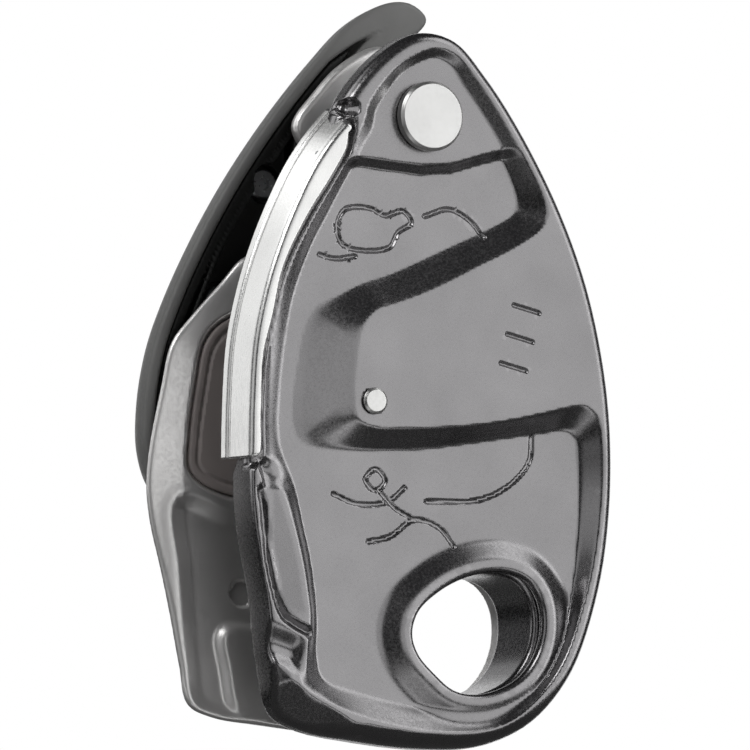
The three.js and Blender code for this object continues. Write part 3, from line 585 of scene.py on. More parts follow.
def moving_plate_maps():
    """Front relief, back relief and outline of the forged moving side plate."""
    fine, distance = twin_charts((-44, -22), (28, 95), 0.1)
    edge = distance(MOVING_PLATE)
    top, foot = distance(RECESS_TOP, 4), distance(RECESS_FOOT, 4)
    across = top / np.maximum(top + np.maximum(-foot, 0), 0.05)
    across = np.where(top < 0, top / 3.0, across)
    across = np.clip(across, -1, 2)
    by_panel = ramp((-24 - fine.x) / 3) * ramp((24 - fine.z) / 4)
    wall = ramp(across, 0.06, 0.22) * (1 - by_panel) + ramp(across, 0.35, 0.35) * by_panel

    step = distance(RIVET_STEP, 0)
    lower = ramp(0.5 - step / 1.3)
    lowest = np.clip((40 - fine.z) / 10, 0, 1)
    floor = RIVET_ZONE + (HAND_ZONE - RIVET_ZONE) * lower + (CLIMBER_ZONE - HAND_ZONE) * lowest

    past_hole = soften(-distance(ATTACHMENT_HOLE))
    collar = ramp(1 - (past_hole - 1.9) / COLLAR_SLOPE, 0.25)
    floor = floor + (COLLAR - floor) * collar
    front = RIM + (floor - RIM) * wall + lower_left_relief(fine, edge, 1 - wall)

    # The strip lies in a rebate, and a small round notch relieves its upper end.
    past_end = 0.8 * (fine.z - 76.9) + 0.6 * (fine.x + 23)
    strip_seat = np.minimum(distance(STRIP_OUTER + STRIP_INNER) + 1.1, 0.4 - past_end)
    front = np.maximum(front, STRIP_SEAT - SEAT_DEPTH * ramp(0.5 - strip_seat / 0.7, 0.3, 0.3))
    notch = np.hypot(fine.x - NOTCH[0], fine.z - NOTCH[1])
    front = np.maximum(front, NOTCH_FLOOR - NOTCH_DEPTH * ramp((notch - 0.6) / 0.8, 0.3))

    front = soften(front)
    engraved = fine.stroke_distance(pictograms(), 1.2)
    front = front + ENGRAVING * np.clip(1 - engraved / ENGRAVING, 0, 1) ** 0.7

    # The back follows the front as pressed sheet does, inside a rim that wraps round.
    reach = distance([(-60, -30), (6, -30), (6, -12), (-20, -6), (-20, 24), (-60, 24)], 0)
    rim_end = FRONT_INNER + (FLANGE_END - FRONT_INNER) * ramp(0.5 + reach / 2.0)
    sheet = np.minimum(RIM + (floor - RIM) * ramp(across, 0.3, 0.3) + SHEET, FRONT_INNER)
    inner = ramp((edge - 1.8) / 1.6, 0.2, 0.3)
    back = rim_end + (sheet - rim_end) * inner
    rounding = 2.2 - 1.2 * ramp((-24 - fine.x) / 4, 0.3, 0.3) * ramp((27 - fine.z) / 4, 0.3, 0.3)
    return fine, front, back, edge, past_hole, engraved, rounding


def moving_side_plate():
    chart, front, back, edge, past_hole, engraved, rounding = moving_plate_maps()
    plate = plate_field(chart, front, back, edge, rounding)

    def field(p):
        x, y, z = p.T
        outside = chart.sample(past_hole, x, z)
        tube = smooth_max(outside - COLLAR_WALL, between(y, FRONT_INNER - 1, 5.3), 0.4)
        solid = smooth_max(smooth_min(plate(p), tube, 0.6), -outside, 1.2)
        return bored(p, bored(p, solid, MAIN_RIVET, 4.5), CAM_AXLE, 1.7)

    def near_detail(p):
        x, y, z = p.T
        engraving = chart.sample(engraved, x, z) < 0.65
        notch = away(p, NOTCH_MOUTH) < 2.0
        return (engraving | notch) & (y < HAND_ZONE)

    carve("forged_front_plate", "moving_side_plate", field,
          (-40, -11.6, -18), (23, 5.4, 90.4), 0.48, near_detail)


# ------ wear strip
def wear_strip():
    """Rounded L-section: a front facet, and a side wall that wraps round the plate's edge."""
    chart, distance = twin_charts((-44, 20), (-18, 84), 0.1)
    to_right = [(30, STRIP_FOOT - 30), (30, 79.5), (-20.5, 80)]
    outer = smooth_loop(STRIP_OUTER, 6, closed=False)
    past_edge = distance(np.vstack([outer[::-1], to_right[::-1], [(-40.3, -5)]])[::-1], 0)
    facet = distance(STRIP_OUTER + STRIP_INNER)

    def field(p):
        x, y, z = p.T
        rear = chart.sample(past_edge, x, z)
        side = STRIP_DRAFT * (STRIP_END - y) - rear
        crease = 0.22 * np.exp(-((y + 6.1) / 0.32) ** 2)
        shape = smooth_max(side + crease, STRIP_FACE - y, 1.2)
        face = np.maximum(-chart.sample(facet, x, z), y - STRIP_FACE - STRIP_WALL)
        wall = np.maximum(rear - STRIP_WALL - STRIP_DRAFT * (STRIP_END - y), y - STRIP_END)
        lip = smooth_max(STRIP_FOOT - z, STRIP_FACE - y, 1.0)
        body = smooth_max(smooth_max(shape, np.minimum(face, wall), 0.2), lip, 0.3)
        past_end = 0.8 * (z - 77.4 - 0.43 * (y + 9)) + 0.6 * (x + 23)
        return smooth_max(body, past_end, 0.8)

    carve("polished_edge_strip", "wear_strip", field, (-41, -11.4, 24.6), (-21, -4.5, 79), 0.21)


# ------ fixed side plate
def fixed_side_plate():
    chart, distance = twin_charts((-50, -18), (25, 93), 0.1)
    edge = distance(FIXED_PLATE)
    window = ramp(0.5 + distance(SIDE_WINDOW) / 1.1)
    panel = ramp(0.5 + distance(LOWER_PANEL) / 2.4)
    rib = ramp(0.5 + distance(PANEL_RIB) / 1.3, 0.3, 0.3)
    ridge = np.exp(-(distance(LOWER_PANEL) / 1.2 + 1.3) ** 2)
    margin = MARGIN_SLOPE * np.clip(MARGIN_WIDTH - edge, 0, MARGIN_WIDTH) 
    margin *= ramp((-26 - chart.x) / 6, 0.12) * (1 - panel) * ramp((chart.z + 14) / 7, 0.12)
    relief = REAR_INNER + soften(margin) + (WINDOW_FLOOR - REAR_INNER) * window
    relief += PANEL_DROP * panel * (1 - 0.9 * rib) - 0.25 * ridge * (1 - panel)
    front = soften(np.minimum(relief, WINDOW_FLOOR))
    back = soften(REAR_FACE - 0.5 * ramp(0.5 - (edge - 3.0) / 1.6, 0.3, 0.3))
    plate = plate_field(chart, front, back, edge, 1.2, 1.0)
    past_hole = soften(-distance(ATTACHMENT_HOLE)) - 0.8
    shanks = [(MAIN_RIVET, MAIN_SHANK), (CAM_AXLE, AXLE_SHANK), (STOP_PIN, STOP_SHANK),
              (SELECTOR, SELECTOR_SHANK)]
    shanks += [(rivet, SHOE_SHANK) for rivet in FRICTION_RIVETS]

    def field(p):
        x, y, z = p.T
        solid = smooth_max(plate(p), -chart.sample(past_hole, x, z), 0.4)
        blind = np.maximum(away(p, PANEL_HOLE) - 2.0, y - REAR_FACE + 0.9)
        solid = smooth_max(solid, -blind, 0.5)
        for place, shank in shanks:
            solid = bored(p, solid, place, shank + FIT)
        return solid

    carve("forged_back_plate", "fixed_side_plate", field,
          (-47.4, 5.3, -15.3), (22, 8.5, 89.8), 0.4)


def side_inlay():
    """Moulded insert in the window of the back plate, with a shallow border groove."""
    chart, distance = twin_charts((-44, 17), (-22, 52), 0.15)
    edge = distance(SIDE_WINDOW)

    def field(p):
        x, y, z = p.T
        inside = chart.sample(edge, x, z) - 0.3
        groove = 0.3 * np.clip(1 - np.abs(inside - 1.5) / 0.45, 0, 1)
        slab = smooth_max(REAR_INNER + 0.5 + groove - y, -inside, 0.5)
        return bored(p, np.maximum(slab, y - WINDOW_FLOOR + 0.3), STOP_PIN, STOP_SHANK + FIT)

    carve("moulded_side_inlay", "side_inlay", field, (-41, 5.9, 20), (-26, 7.1, 49.5), 0.3)


def friction_plate():
    """Curved shoe that the rope rubs on, with a riveted foot."""
    def field(p):
        x, y, z = p.T
        radius = away(p, CAM_CENTRE)
        turn = np.arctan2(z - CAM_CENTRE[1], x - CAM_CENTRE[0])

        def sector(inner, outer, start, end):
            sweep = between(turn, math.radians(start), math.radians(end)) * radius
            return smooth_max(between(radius, inner, outer), sweep, 1.2)

        shoe = smooth_max(sector(SHOE_INNER, SHOE_OUTER, 78, 134), between(y, -5.6, 5.3), 0.8)
        foot = smooth_max(sector(SHOE_INNER, SHOE_FOOT, 76, 126), between(y, 3.0, 5.3), 0.8)
        solid = bored(p, smooth_min(shoe, foot, 1.0), MAIN_RIVET, 6.3)
        for rivet in FRICTION_RIVETS:
            solid = bored(p, solid, rivet, SHOE_SHANK + FIT)
        return solid

    carve("curved_friction_shoe", "friction_plate", field, (-26, -5.8, 58), (8, 5.5, 75), 0.35)


# ------ cam
def cam():
    """Cast wheel with a rope groove, joined to its hub by a thick web."""
    chart, distance = twin_charts((-36, 18), (20, 62), 0.2)
    web_edge = distance(CAM_WEB, 0)

    def field(p):
        x, y, z = p.T
        deep = np.clip(np.abs(y + 0.3) - 1.9, 0, 2.7) / 2.7
        wheel = (away(p, CAM_CENTRE) - CAM_GROOVE - CAM_LIPS * ramp(deep)) * 0.6
        hub = away(p, CAM_AXLE) - CAM_HUB
        joined = smooth_min(smooth_min(wheel, hub, 2.0), -chart.sample(web_edge, x, z), 1.5)
        solid = smooth_max(joined, between(y, -5.7, 5.1), 0.7)
        tail = smooth_max(away(p, CAM_TAIL) - 3.2, between(y, -3.5, 3.5), 0.6)
        solid = smooth_min(solid, tail, 0.8)
        solid = bored(p, solid, CAM_AXLE, 5.4)
        solid = bored(p, solid, CAM_AXLE, 6.2, -99, -4.8)
        solid = bored(p, solid, CAM_AXLE, 8.4, 1.5)
        hollow = np.maximum(away(p, CAM_POCKET) - 7.5, y + 3.4)
        return smooth_max(solid, -hollow, 0.7)

    carve("cast_rope_cam", "cam", field, (-32, -5.9, 24), (15.7, 5.3, 58.7), 0.42)


# ------ handle
class HandleShape:
    """Maps and fields that the lever, its liner and its grip share."""

    def __init__(self):
        self.chart, distance = twin_charts((-50, 14), (8, 100), 0.15)
        self.edge = soften(distance(HANDLE))
        self.grip = distance(GRIP)
        self.rib = self.chart.stroke_distance([np.array(LINER_RIB, float)], 3.0)

    def inside(self, p):
        """Distance inside the outer wall, which leans inwards towards the back."""
        return self.chart.sample(self.edge, p[:, 0], p[:, 2]) - 0.1 * (p[:, 1] - HANDLE_FRONT)

    def wall(self, p):
        """Thickness of the wall, which grows towards the tip."""
        return 1.8 + 2.4 * np.clip((p[:, 2] - 87) / 7, 0, 1)


def handle_lever(shape):
    def field(p):
        x, y, z = p.T
        inside = shape.inside(p)
        shell = smooth_max(smooth_max(-inside, y - HANDLE_BACK, 6.0), HANDLE_FRONT - y, 1.1)
        hollow = smooth_max(shape.wall(p) - inside, y - HANDLE_FLOOR, 0.8)
        hollow = smooth_max(hollow, HANDLE_HUB - away(p, CAM_AXLE), 0.5)
        solid = smooth_max(shell, -hollow, 0.5)
        solid = bored(p, solid, CAM_AXLE, 5.1)
        solid = bored(p, solid, CAM_AXLE, 7.2, 14.7)
        channel = np.maximum(np.abs(away(p, CAM_AXLE) - SPRING_COIL) - 2.7, y - 12.4)
        solid = np.maximum(solid, -channel)
        seat = np.maximum(-shape.chart.sample(shape.grip, x, z), GRIP_SEAT - y)
        solid = np.maximum(solid, -seat)
        for screw in GRIP_SCREWS:
            solid = bored(p, solid, screw, GRIP_SHANK + FIT)
        return solid

    carve("hollow_release_lever", "handle_lever", field, (-46.5, 8.7, 18), (2.6, 17.7, 97.3), 0.42)


def handle_liner(shape):
    """Near-black tray, painted shade for the hollow handle's inside, with one long stiffening rib.
    """
    def field(p):
        x, y, z = p.T
        inside = shape.inside(p) - shape.wall(p)
        tray = smooth_max(0.35 - inside, between(y, 10.2, HANDLE_FLOOR - 0.3), 0.3)
        scoop = smooth_max(2.0 - inside, y - 12.8, 0.5)
        scoop = np.maximum(scoop, HANDLE_HUB + 1.6 - away(p, CAM_AXLE))
        scoop = smooth_max(scoop, 0.45 - shape.chart.sample(shape.rib, x, z), 0.3)
        solid = smooth_max(tray, -scoop, 0.3)
        solid = np.maximum(solid, HANDLE_HUB + 0.3 - away(p, CAM_AXLE))
        for screw in GRIP_SCREWS:
            solid = bored(p, solid, screw, 2.9)
        return solid

    carve("painted_shade_handle_tray", "handle_liner", field, (-45, 10, 19), (1, 14.9, 95), 0.4)


def handle_grip(shape):
    """Soft pad on the back of the handle, with slanted grip ribs."""
    def field(p):
        x, y, z = p.T
        inside = shape.chart.sample(shape.grip, x, z) - 0.3
        wave = np.clip(np.cos(2 * math.pi * (0.5 * x + 0.87 * z) / 3.6) * 2 - 0.4, 0, 1)
        ribs = 0.5 * wave * np.clip((inside - 1.6) / 0.8, 0, 1)
        pad = smooth_max(-inside, y - 18.3 + ribs, 0.9)
        solid = np.maximum(pad, GRIP_SEAT + 0.3 - y)
        for screw in GRIP_SCREWS:
            solid = bored(p, solid, screw, 1.0, -99, 17.6)
        return solid

    carve("ribbed_grip_pad", "handle_grip", field, (-40.2, 16.8, 42.5), (-9, 18.4, 91), 0.36)


# ------ mode selector
def mode_selector():
    """Round knob whose raised pointer shows the chosen mode."""
    x0, z0 = SELECTOR
    chart, distance = twin_charts((x0 - 10, z0 - 12), (x0 + 10, z0 + 14), 0.1)
    pointer = distance([(x0 + x, z0 + z) for x, z in POINTER])

    def field(p):
        x, y, z = p.T
        rim = away(p, SELECTOR)
        turn = np.arctan2(z - z0, x - x0)
        fluted = rim - 7.5 + 0.18 * (1 + np.cos(KNOB_FLUTES * turn))
        disc = smooth_max(fluted, y - 10.6, 0.8)
        bar = smooth_max(-chart.sample(pointer, x, z), y - 13.0, 1.2)
        solid = np.maximum(smooth_min(disc, bar, 0.8), REAR_FACE + 0.3 - y)
        solid = bored(p, solid, SELECTOR, SELECTOR_SHANK + FIT)
        solid = bored(p, solid, SELECTOR, 3.4, 11.6)
        spring_seat = np.maximum(np.abs(rim - 4.0) - 1.4, y - 9.8)
        solid = np.maximum(solid, -spring_seat)
        return bored(p, solid, DETENT, 1.0, -99, 9.7)

    carve("fluted_mode_knob", "mode_selector", field, (-0.8, 8.6, 50.2), (14.8, 13.2, 68.8), 0.22)


def axle_retaining_ring():
    """Open spring ring that snaps into the groove of the axle."""
    def field(p):
        x, y, z = p.T
        ring = smooth_max(np.abs(away(p, CAM_AXLE) - 4.45) - 1.15, between(y, 15.15, 15.65), 0.1)
        mouth = np.hypot((x - CAM_AXLE[0] - 5) / 3, (z - CAM_AXLE[1]) / 2) - 1
        return smooth_max(ring, -2 * mouth, 0.3)

    x0, z0 = CAM_AXLE
    carve("snap_ring", "axle_retaining_ring", field,
          (x0 - 5.8, 15.1, z0 - 5.8), (x0 + 5.8, 15.7, z0 + 5.8), 0.14)


# ------ turned pieces
def unit(v):
    return v / max(np.linalg.norm(v), 1e-9)


def rounded(profile, radius, closed, steps=3):
    """Points and directions along a profile of (radius, depth) whose corners are rounded."""
    p = np.asarray(profile, float)
    corners = range(len(p)) if closed else range(1, len(p) - 1)
    out = [] if closed else [(p[0], unit(p[1] - p[0]))]
    for i in corners:
        a, b, c = p[i - 1], p[i], p[(i + 1) % len(p)]
        u, w = unit(b - a), unit(c - b)
        turn = math.acos(float(np.clip(u @ w, -1, 1)))
        reach = min(radius * math.tan(turn / 2), 0.45 * np.linalg.norm(b - a),
                    0.45 * np.linalg.norm(c - b))
        for t in np.linspace(0, 1, steps + 1):
            bend = (1 - t) ** 2 * (b - u * reach) + 2 * t * (1 - t) * b + t * t * (b + w * reach)
            out.append((bend, unit((1 - t) * u + t * w)))
    if not closed:
        out.append((p[-1], unit(p[-1] - p[-2])))
    return out


def turned(name, node, place, profile, rounding=0.15, closed=False, wave=(0.0, 0)):
    """A piece turned about an axis parallel to Y; wave ripples it by an amount, some times."""
    sides = 96
    angles = 2 * math.pi * np.arange(sides) / sides
    line = rounded(profile, rounding, closed)
    points, normals, rings = [], [], []
    for (radius, depth), (along_r, along_y) in line:
        count = 1 if radius < 1e-6 else sides
        rings.append([len(points) + k % count for k in range(sides)])
        for angle in angles[:count]:
            c, s = math.cos(angle), math.sin(angle)
            lift = wave[0] * math.cos(wave[1] * angle)
            points.append((place[0] + radius * c, depth + lift, place[1] + radius * s))
            normals.append((along_y * c, -along_r, along_y * s))
    faces = []
    pairs = list(zip(rings, rings[1:] + rings[:1]))
    for near, far in pairs if closed else pairs[:-1]:
        for k in range(sides):
            corners = [near[k], far[k], far[(k + 1) % sides], near[(k + 1) % sides]]
            faces.append(list(dict.fromkeys(corners)))
    piece = mesh_object(name, points, faces)
    piece.data.normals_split_custom_set_from_vertices(normals)
    install(piece, node)


def collar(name, node, place, inner, outer, front, back, **options):
    profile = [(inner, front), (outer, front), (outer, back), (inner, back)]
    turned(name, node, place, profile, closed=True, **options)


def turned_pieces():
    turned("headed_main_rivet", "main_rivet", MAIN_RIVET, [
        (0, HEAD_FRONT), (4.8, HEAD_FRONT), (MAIN_HEAD, -11.9), (MAIN_HEAD, -10.6),
        (MAIN_SHANK, -10.6), (MAIN_SHANK, 8.7), (4.8, 8.7), (4.8, 9.5), (4.0, 10.2),
        (1.2, 10.2), (1.0, 9.9), (0, 9.9)], 0.2)
    turned("domed_locating_pin", "locating_pin", CAM_AXLE, [
        (0, HEAD_FRONT), (1.6, HEAD_FRONT), (2.0, -12.0), (2.0, -11.8), (1.4, -11.8),
        (1.4, -6.3), (0, -6.3)], 0.2)
    turned("grooved_cam_axle", "cam_axle", CAM_AXLE, [
        (0, -5.9), (5.8, -5.9), (5.8, -5.1), (AXLE_SHANK, -5.1), (AXLE_SHANK, 15.0),
        (AXLE_GROOVE, 15.0), (AXLE_GROOVE, 15.8), (AXLE_SHANK, 15.8), (AXLE_SHANK, 16.0),
        (0, 16.0)])
    turned("cam_limit_pin", "cam_stop_pin", STOP_PIN, [
        (0, -4.0), (1.5, -4.0), (STOP_SHANK, -3.7), (STOP_SHANK, 8.3), (0, 8.3)])
    turned("domed_handle_cap", "handle_pivot_cap", CAM_AXLE, [
        (0, 16.4), (6.8, 16.4), (6.8, 17.5), (6.1, 18.1), (2.4, 18.2), (2.2, 17.9), (0, 17.9)], 0.3)
    turned("selector_shoulder_screw", "selector_screw", SELECTOR, [
        (0, 5.7), (SELECTOR_SHANK, 5.7), (SELECTOR_SHANK, 11.9), (3.1, 11.9), (3.1, 12.7),
        (2.4, 13.2), (1.3, 13.2), (1.3, 12.3), (0, 12.3)])
    for side, place in zip(("left", "right"), FRICTION_RIVETS):
        turned(f"shoe_rivet_{side}", f"friction_plate_rivet_{side}", place, [
            (0, 1.5), (1.9, 1.5), (2.7, 2.1), (2.7, 2.7), (SHOE_SHANK, 2.7), (SHOE_SHANK, 8.3),
            (0, 8.3)])
    for side, place in zip(("upper", "lower"), STRIP_RIVETS):
        turned(f"strip_rivet_{side}", f"wear_strip_rivet_{side}", place, [
            (0, -9.9), (0.9, -9.9), (0.9, -6.2), (0, -6.2)], 0.1)
    for side, place in zip(("upper", "lower"), GRIP_SCREWS):
        turned(f"grip_screw_{side}", f"handle_grip_screw_{side}", place, [
            (0, 13.5), (0.9, 13.5), (0.9, 12.9), (2.0, 12.9), (2.3, 13.2), (2.3, 14.7),
            (GRIP_SHANK, 14.7), (GRIP_SHANK, GRIP_SEAT), (0.7, GRIP_SEAT), (0.7, 17.3),
            (0, 17.3)], 0.1)
    ball = [(DETENT_BALL * math.sin(t), DETENT_DEPTH - DETENT_BALL * math.cos(t))
            for t in np.linspace(0, math.pi, 13)]
    ball[0] = (0, DETENT_DEPTH - DETENT_BALL)
    ball[-1] = (0, DETENT_DEPTH + DETENT_BALL)
    turned("detent_ball", "selector_detent_ball", DETENT, ball, 0.02)

    collar("gap_spacer", "main_spacer", MAIN_RIVET, MAIN_HOLE, 6.0, -5.9, 5.3)
    collar("plate_bush", "main_bush", MAIN_RIVET, MAIN_HOLE, 4.2, RIVET_ZONE, FRONT_INNER)
    collar("cam_hub_bush", "cam_bush", CAM_AXLE, AXLE_HOLE, 5.1, -4.7, 1.2)
    collar("handle_hub_bush", "handle_bush", CAM_AXLE, AXLE_HOLE, 4.8, HANDLE_FRONT, 14.6)
    collar("toothed_clutch_ring", "clutch_ring", CAM_AXLE, 6.6, 11.2, 10.98, 12.02,
           wave=(0.08, CLUTCH_TEETH))
    collar("wave_washer", "selector_spring", SELECTOR, 3.0, 5.0, 8.9, 9.3, wave=(0.17, 3))


def torsion_spring(name, node, place, radius, wire, depths, turns, leg=0.6):
    """Round wire coiled about an axis parallel to Y, with legs that point outwards."""
    steps = int(turns * (48))
    turn = 2 * math.pi * turns * np.arange(steps + 1) / steps
    depth = np.linspace(*depths, steps + 1)
    reach = np.full(steps + 1, radius)
    reach[[0, -1]] += leg
    path = np.stack([place[0] + reach * np.cos(turn), depth, place[1] + reach * np.sin(turn)], 1)
    along = np.gradient(path, axis=0)
    along /= np.linalg.norm(along, axis=1, keepdims=True)
    across = np.cross(along, (0, 1, 0))
    across /= np.linalg.norm(across, axis=1, keepdims=True)
    upwards = np.cross(across, along)
    sides = 12
    points, faces = [], []
    for centre, side, up in zip(path, across, upwards):
        for k in range(sides):
            angle = 2 * math.pi * k / sides
            points.append(centre + 0.5 * wire * (math.cos(angle) * side + math.sin(angle) * up))
    for i in range(steps):
        for k in range(sides):
            near, far = i * sides, (i + 1) * sides
            nxt = (k + 1) % sides
            faces.append((near + k, far + k, far + nxt, near + nxt))
    faces.append(tuple(range(sides)))
    faces.append(tuple(steps * sides + k for k in reversed(range(sides))))
    install(mesh_object(name, points, faces), node)


def springs():
    torsion_spring("cam_torsion_spring", "cam_return_spring", CAM_AXLE, 6.9, 0.8, (2.2, 4.9), 2.5)
    torsion_spring("handle_torsion_spring", "handle_return_spring", CAM_AXLE, SPRING_COIL, 0.9,
                   (9.2, 10.3), 1.2)


# ------ materials
def new_material(name):
    material = bpy.data.materials.new(name)
    material.use_nodes = True
    nodes = material.node_tree.nodes
    return material, nodes, material.node_tree.links, nodes["Principled BSDF"]


def noise(nodes, links, scale, detail=2.0, stretch=None):
    """Noise over the object's own coordinates, optionally stretched along an axis."""
    coords = nodes.new("ShaderNodeTexCoord")
    texture = nodes.new("ShaderNodeTexNoise")
    texture.inputs["Scale"].default_value = scale
    texture.inputs["Detail"].default_value = detail
    if stretch is None:
        links.new(coords.outputs["Object"], texture.inputs["Vector"])
    else:
        mapping = nodes.new("ShaderNodeMapping")
        mapping.inputs["Scale"].default_value = stretch
        links.new(coords.outputs["Object"], mapping.inputs["Vector"])
        links.new(mapping.outputs["Vector"], texture.inputs["Vector"])
    return texture.outputs["Fac"]


def remap(nodes, links, value, low, high, start=0.3, end=0.7):
    """A stretch of a value's range, for noise its middle, spread between two values."""
    node = nodes.new("ShaderNodeMapRange")
    node.inputs["From Min"].default_value = start
    node.inputs["From Max"].default_value = end
    node.inputs["To Min"].default_value = low
    node.inputs["To Max"].default_value = high
    links.new(value, node.inputs["Value"])
    return node.outputs["Result"]


def two_tones(nodes, links, value, first, second):
    """A blend of two tones, each a colour or another node's output."""
    mix = nodes.new("ShaderNodeMix")
    mix.data_type = "RGBA"
    links.new(value, mix.inputs["Factor"])
    for end, tone in (("A", first), ("B", second)):
        if isinstance(tone, tuple):
            mix.inputs[end].default_value = (*tone, 1)
        else:
            links.new(tone, mix.inputs[end])
    return mix.outputs["Result"]


def bump(nodes, links, value, distance, strength=1.0):
    node = nodes.new("ShaderNodeBump")
    node.inputs["Strength"].default_value = strength
    node.inputs["Distance"].default_value = distance
    links.new(value, node.inputs["Height"])
    return node.outputs["Normal"]


def shade(color, factor):
    return tuple(min(c * factor, 1.0) for c in color)


def surface(name, color, roughness, metallic=1.0, mottle=0.07, blotches=90, grain=2600,
            detail=2.0, spread=0.06, depth=4e-6, brushed=None, edge_highlight=0.0):
    """A finish with uneven tone and gloss, a fine or brushed grain, and a painted edge highlight.
    """
    material, nodes, links, shader = new_material(name)
    shader.inputs["Metallic"].default_value = metallic
    cloud = noise(nodes, links, blotches, 3.0)
    fine = noise(nodes, links, grain, detail, brushed)
    tone = two_tones(nodes, links, remap(nodes, links, cloud, 0.0, 1.0),
                     shade(color, 1 - mottle), shade(color, 1 + mottle))
    # Painted highlight: convex edges, found by their pointiness, are made lighter.
    if edge_highlight:
        edge = nodes.new("ShaderNodeNewGeometry").outputs["Pointiness"]
        highlight_mix = remap(nodes, links, edge, 0.0, edge_highlight, 0.53, 0.62)
        tone = two_tones(nodes, links, highlight_mix, tone, shade(color, 1.7))
    links.new(tone, shader.inputs["Base Color"])
    gloss = remap(nodes, links, fine, roughness - spread, roughness + spread)
    links.new(gloss, shader.inputs["Roughness"])
    links.new(bump(nodes, links, fine, depth), shader.inputs["Normal"])
    return material


# Moulded plastic has a fine spark-eroded grain.
MOULDED = dict(metallic=0.0, mottle=0.15, blotches=60, grain=1500, detail=3.0, spread=0.08,
               depth=1.2e-5)

FINISHES = {
    # The gunmetal's convex edges get a painted highlight.
    "plate_gunmetal": dict(color=(0.27, 0.265, 0.27), roughness=0.26, edge_highlight=0.25),
    "plate_silver": dict(color=(0.86, 0.85, 0.84), roughness=0.36, metallic=0.75, grain=1900,
                         depth=5e-6),
    "stainless_strip": dict(color=(0.78, 0.78, 0.77), roughness=0.27, grain=900, depth=3e-6,
                            brushed=(14, 14, 0.8)),
    "rivet_bright": dict(color=(0.68, 0.68, 0.67), roughness=0.34, grain=1800, depth=3e-6),
    "steel_polished": dict(color=(0.64, 0.64, 0.63), roughness=0.22, grain=1500, depth=2e-6),
    "steel_satin": dict(color=(0.46, 0.47, 0.48), roughness=0.32),
    "spring_steel": dict(color=(0.38, 0.38, 0.39), roughness=0.26),
    "cam_steel": dict(color=(0.52, 0.52, 0.51), roughness=0.36, grain=1300, depth=6e-6),
    "bronze": dict(color=(0.50, 0.33, 0.15), roughness=0.40),
    "handle_grey": dict(color=(0.185, 0.185, 0.181), roughness=0.50, **MOULDED),
    # This near-black is painted shade for the inside of the hollow handle.
    "nylon_black": dict(color=(0.012, 0.013, 0.012), roughness=0.48, **MOULDED),
    "inlay_taupe": dict(color=(0.36, 0.32, 0.31), roughness=0.45, **MOULDED),
}
MATERIALS = {name: surface(name, **finish) for name, finish in FINISHES.items()}


# ------ camera, light and floor
VIEW_AZIMUTH = math.radians(-27)
VIEW_ELEVATION = math.radians(-5)
VIEW_TARGET = np.array((-11.2, 1.8, 39.3)) * MM
VIEW_DISTANCE = 2.5
VIEW_WIDTH = 0.1125  # width of the picture at the target, in metres
MIDDLE = np.array((-11, 0, 38)) * MM  # of the device, where the lights aim
FLOOR_DEPTH = -260
FLOOR_REACH = 8000

# Distances and sizes of the lights are in metres.
SOFTBOXES = [  # name, direction from the device, distance, width and height, radiance
    ("front_right_box", (0.45, -0.89, 0.10), 0.9, (0.62, 0.95), 1.15),
    ("right_edge_box", (0.84, -0.54, 0.10), 0.9, (0.30, 0.9), 2.2),
    ("left_box", (-0.93, -0.36, 0.05), 1.1, (0.5, 1.0), 0.55),
    ("middle_fill", (-0.12, -0.99, 0.02), 1.1, (0.55, 0.9), 0.80),
    ("upper_right_box", (0.58, -0.40, 0.71), 1.0, (0.55, 0.4), 1.8),
    ("lower_front_box", (0.10, -0.72, -0.69), 0.4, (0.3, 0.14), 1.0),
    ("upper_left_box", (-0.66, -0.30, 0.69), 1.0, (0.4, 0.4), 5.0),
    ("top_back_box", (-0.55, 0.35, 0.76), 1.0, (0.6, 0.4), 0.8),
    ("back_left_box", (-0.75, 0.47, 0.42), 1.0, (0.75, 1.0), 1.0),
    ("low_left_fill", (-0.45, -0.55, -0.70), 0.38, (0.16, 0.14), 0.8),
    ("back_box", (0.26, 0.96, 0.0), 1.0, (0.8, 1.0), 1.0),
    ("back_right_box", (0.76, 0.64, 0.05), 1.0, (0.6, 0.9), 1.0),
]


def camera():
    """A long lens from the front left, a little below the middle of the device."""
    level = math.cos(VIEW_ELEVATION)
    back = np.array((math.sin(VIEW_AZIMUTH) * level, -math.cos(VIEW_AZIMUTH) * level,
                     math.sin(VIEW_ELEVATION)))
    data = bpy.data.cameras.new("camera")
    data.sensor_width = 36
    data.lens = data.sensor_width * VIEW_DISTANCE / VIEW_WIDTH
    data.clip_end = 20
    obj = add_object("camera", data)
    obj.location = VIEW_TARGET + back * VIEW_DISTANCE
    obj.rotation_euler = (math.pi / 2 - VIEW_ELEVATION, 0, VIEW_AZIMUTH)
    bpy.context.scene.camera = obj


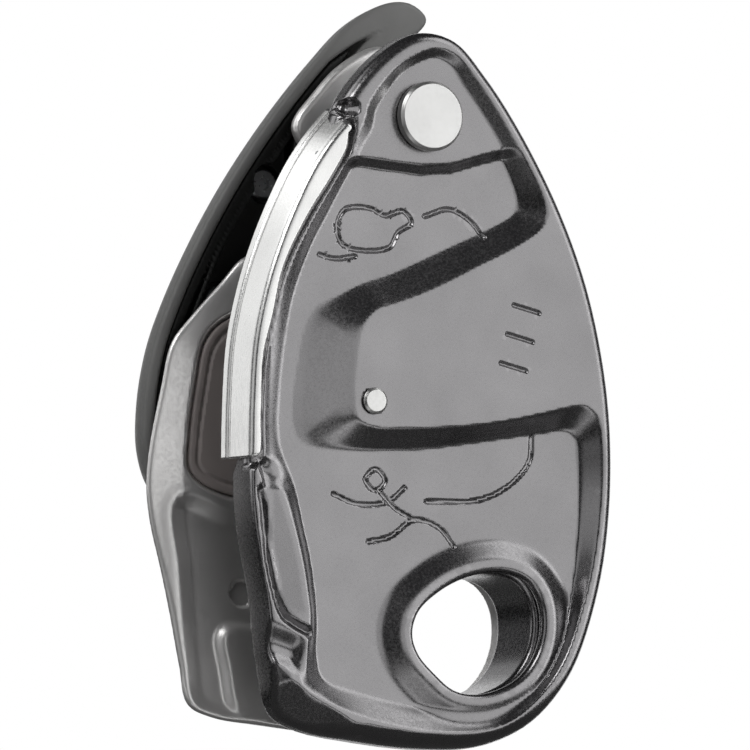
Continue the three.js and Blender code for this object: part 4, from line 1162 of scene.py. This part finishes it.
def softbox(name, direction, distance, size, radiance):
    """A rectangular light that faces the device from a direction, with a given radiance."""
    direction = unit(np.asarray(direction, float))
    data = bpy.data.lights.new(name, "AREA")
    data.shape = "RECTANGLE"
    data.size, data.size_y = size
    data.energy = radiance * math.pi * size[0] * size[1]
    obj = add_object(name, data)
    obj.location = MIDDLE + direction * distance
    pitch = math.atan2(math.hypot(direction[0], direction[1]), direction[2])
    obj.rotation_euler = (pitch, 0, math.atan2(direction[0], -direction[1]))


def white_when_seen(nodes, links, white_kind, other_shader, target):
    """Plain white to the camera, and another shader in reflections and as light."""
    white = nodes.new(white_kind)
    white.inputs["Color"].default_value = (1, 1, 1, 1)
    ray = nodes.new("ShaderNodeLightPath")
    mix = nodes.new("ShaderNodeMixShader")
    links.new(ray.outputs["Is Camera Ray"], mix.inputs["Fac"])
    links.new(other_shader, mix.inputs[1])
    links.new(white.outputs[0], mix.inputs[2])
    links.new(mix.outputs["Shader"], target)


def studio():
    """A white backdrop and floor in a dark room, with softboxes where the metal mirrors them."""
    for box in SOFTBOXES:
        softbox(*box)

    floor = mesh_object("floor", [(x, y, FLOOR_DEPTH) for x, y in (
        (-FLOOR_REACH, -FLOOR_REACH), (FLOOR_REACH, -FLOOR_REACH),
        (FLOOR_REACH, FLOOR_REACH), (-FLOOR_REACH, FLOOR_REACH))], [(0, 1, 2, 3)])
    material, nodes, links, shader = new_material("white_floor")
    shader.inputs["Base Color"].default_value = (0.08, 0.08, 0.08, 1)
    shader.inputs["Roughness"].default_value = 0.9
    white_when_seen(nodes, links, "ShaderNodeEmission", shader.outputs["BSDF"],
                    nodes["Material Output"].inputs["Surface"])
    floor.data.materials.append(material)

    world = bpy.data.worlds.new("studio")
    bpy.context.scene.world = world
    world.use_nodes = True
    nodes, links = world.node_tree.nodes, world.node_tree.links
    dim = nodes["Background"]
    dim.inputs["Color"].default_value = (0.04, 0.04, 0.042, 1)
    white_when_seen(nodes, links, "ShaderNodeBackground", dim.outputs["Background"],
                    nodes["World Output"].inputs["Surface"])
    bpy.context.scene.view_settings.view_transform = "Standard"


# ------ making
camera()
studio()
moving_side_plate()
wear_strip()
fixed_side_plate()
side_inlay()
friction_plate()
cam()
handle_shape = HandleShape()
handle_lever(handle_shape)
handle_liner(handle_shape)
handle_grip(handle_shape)
mode_selector()
axle_retaining_ring()
turned_pieces()
springs()
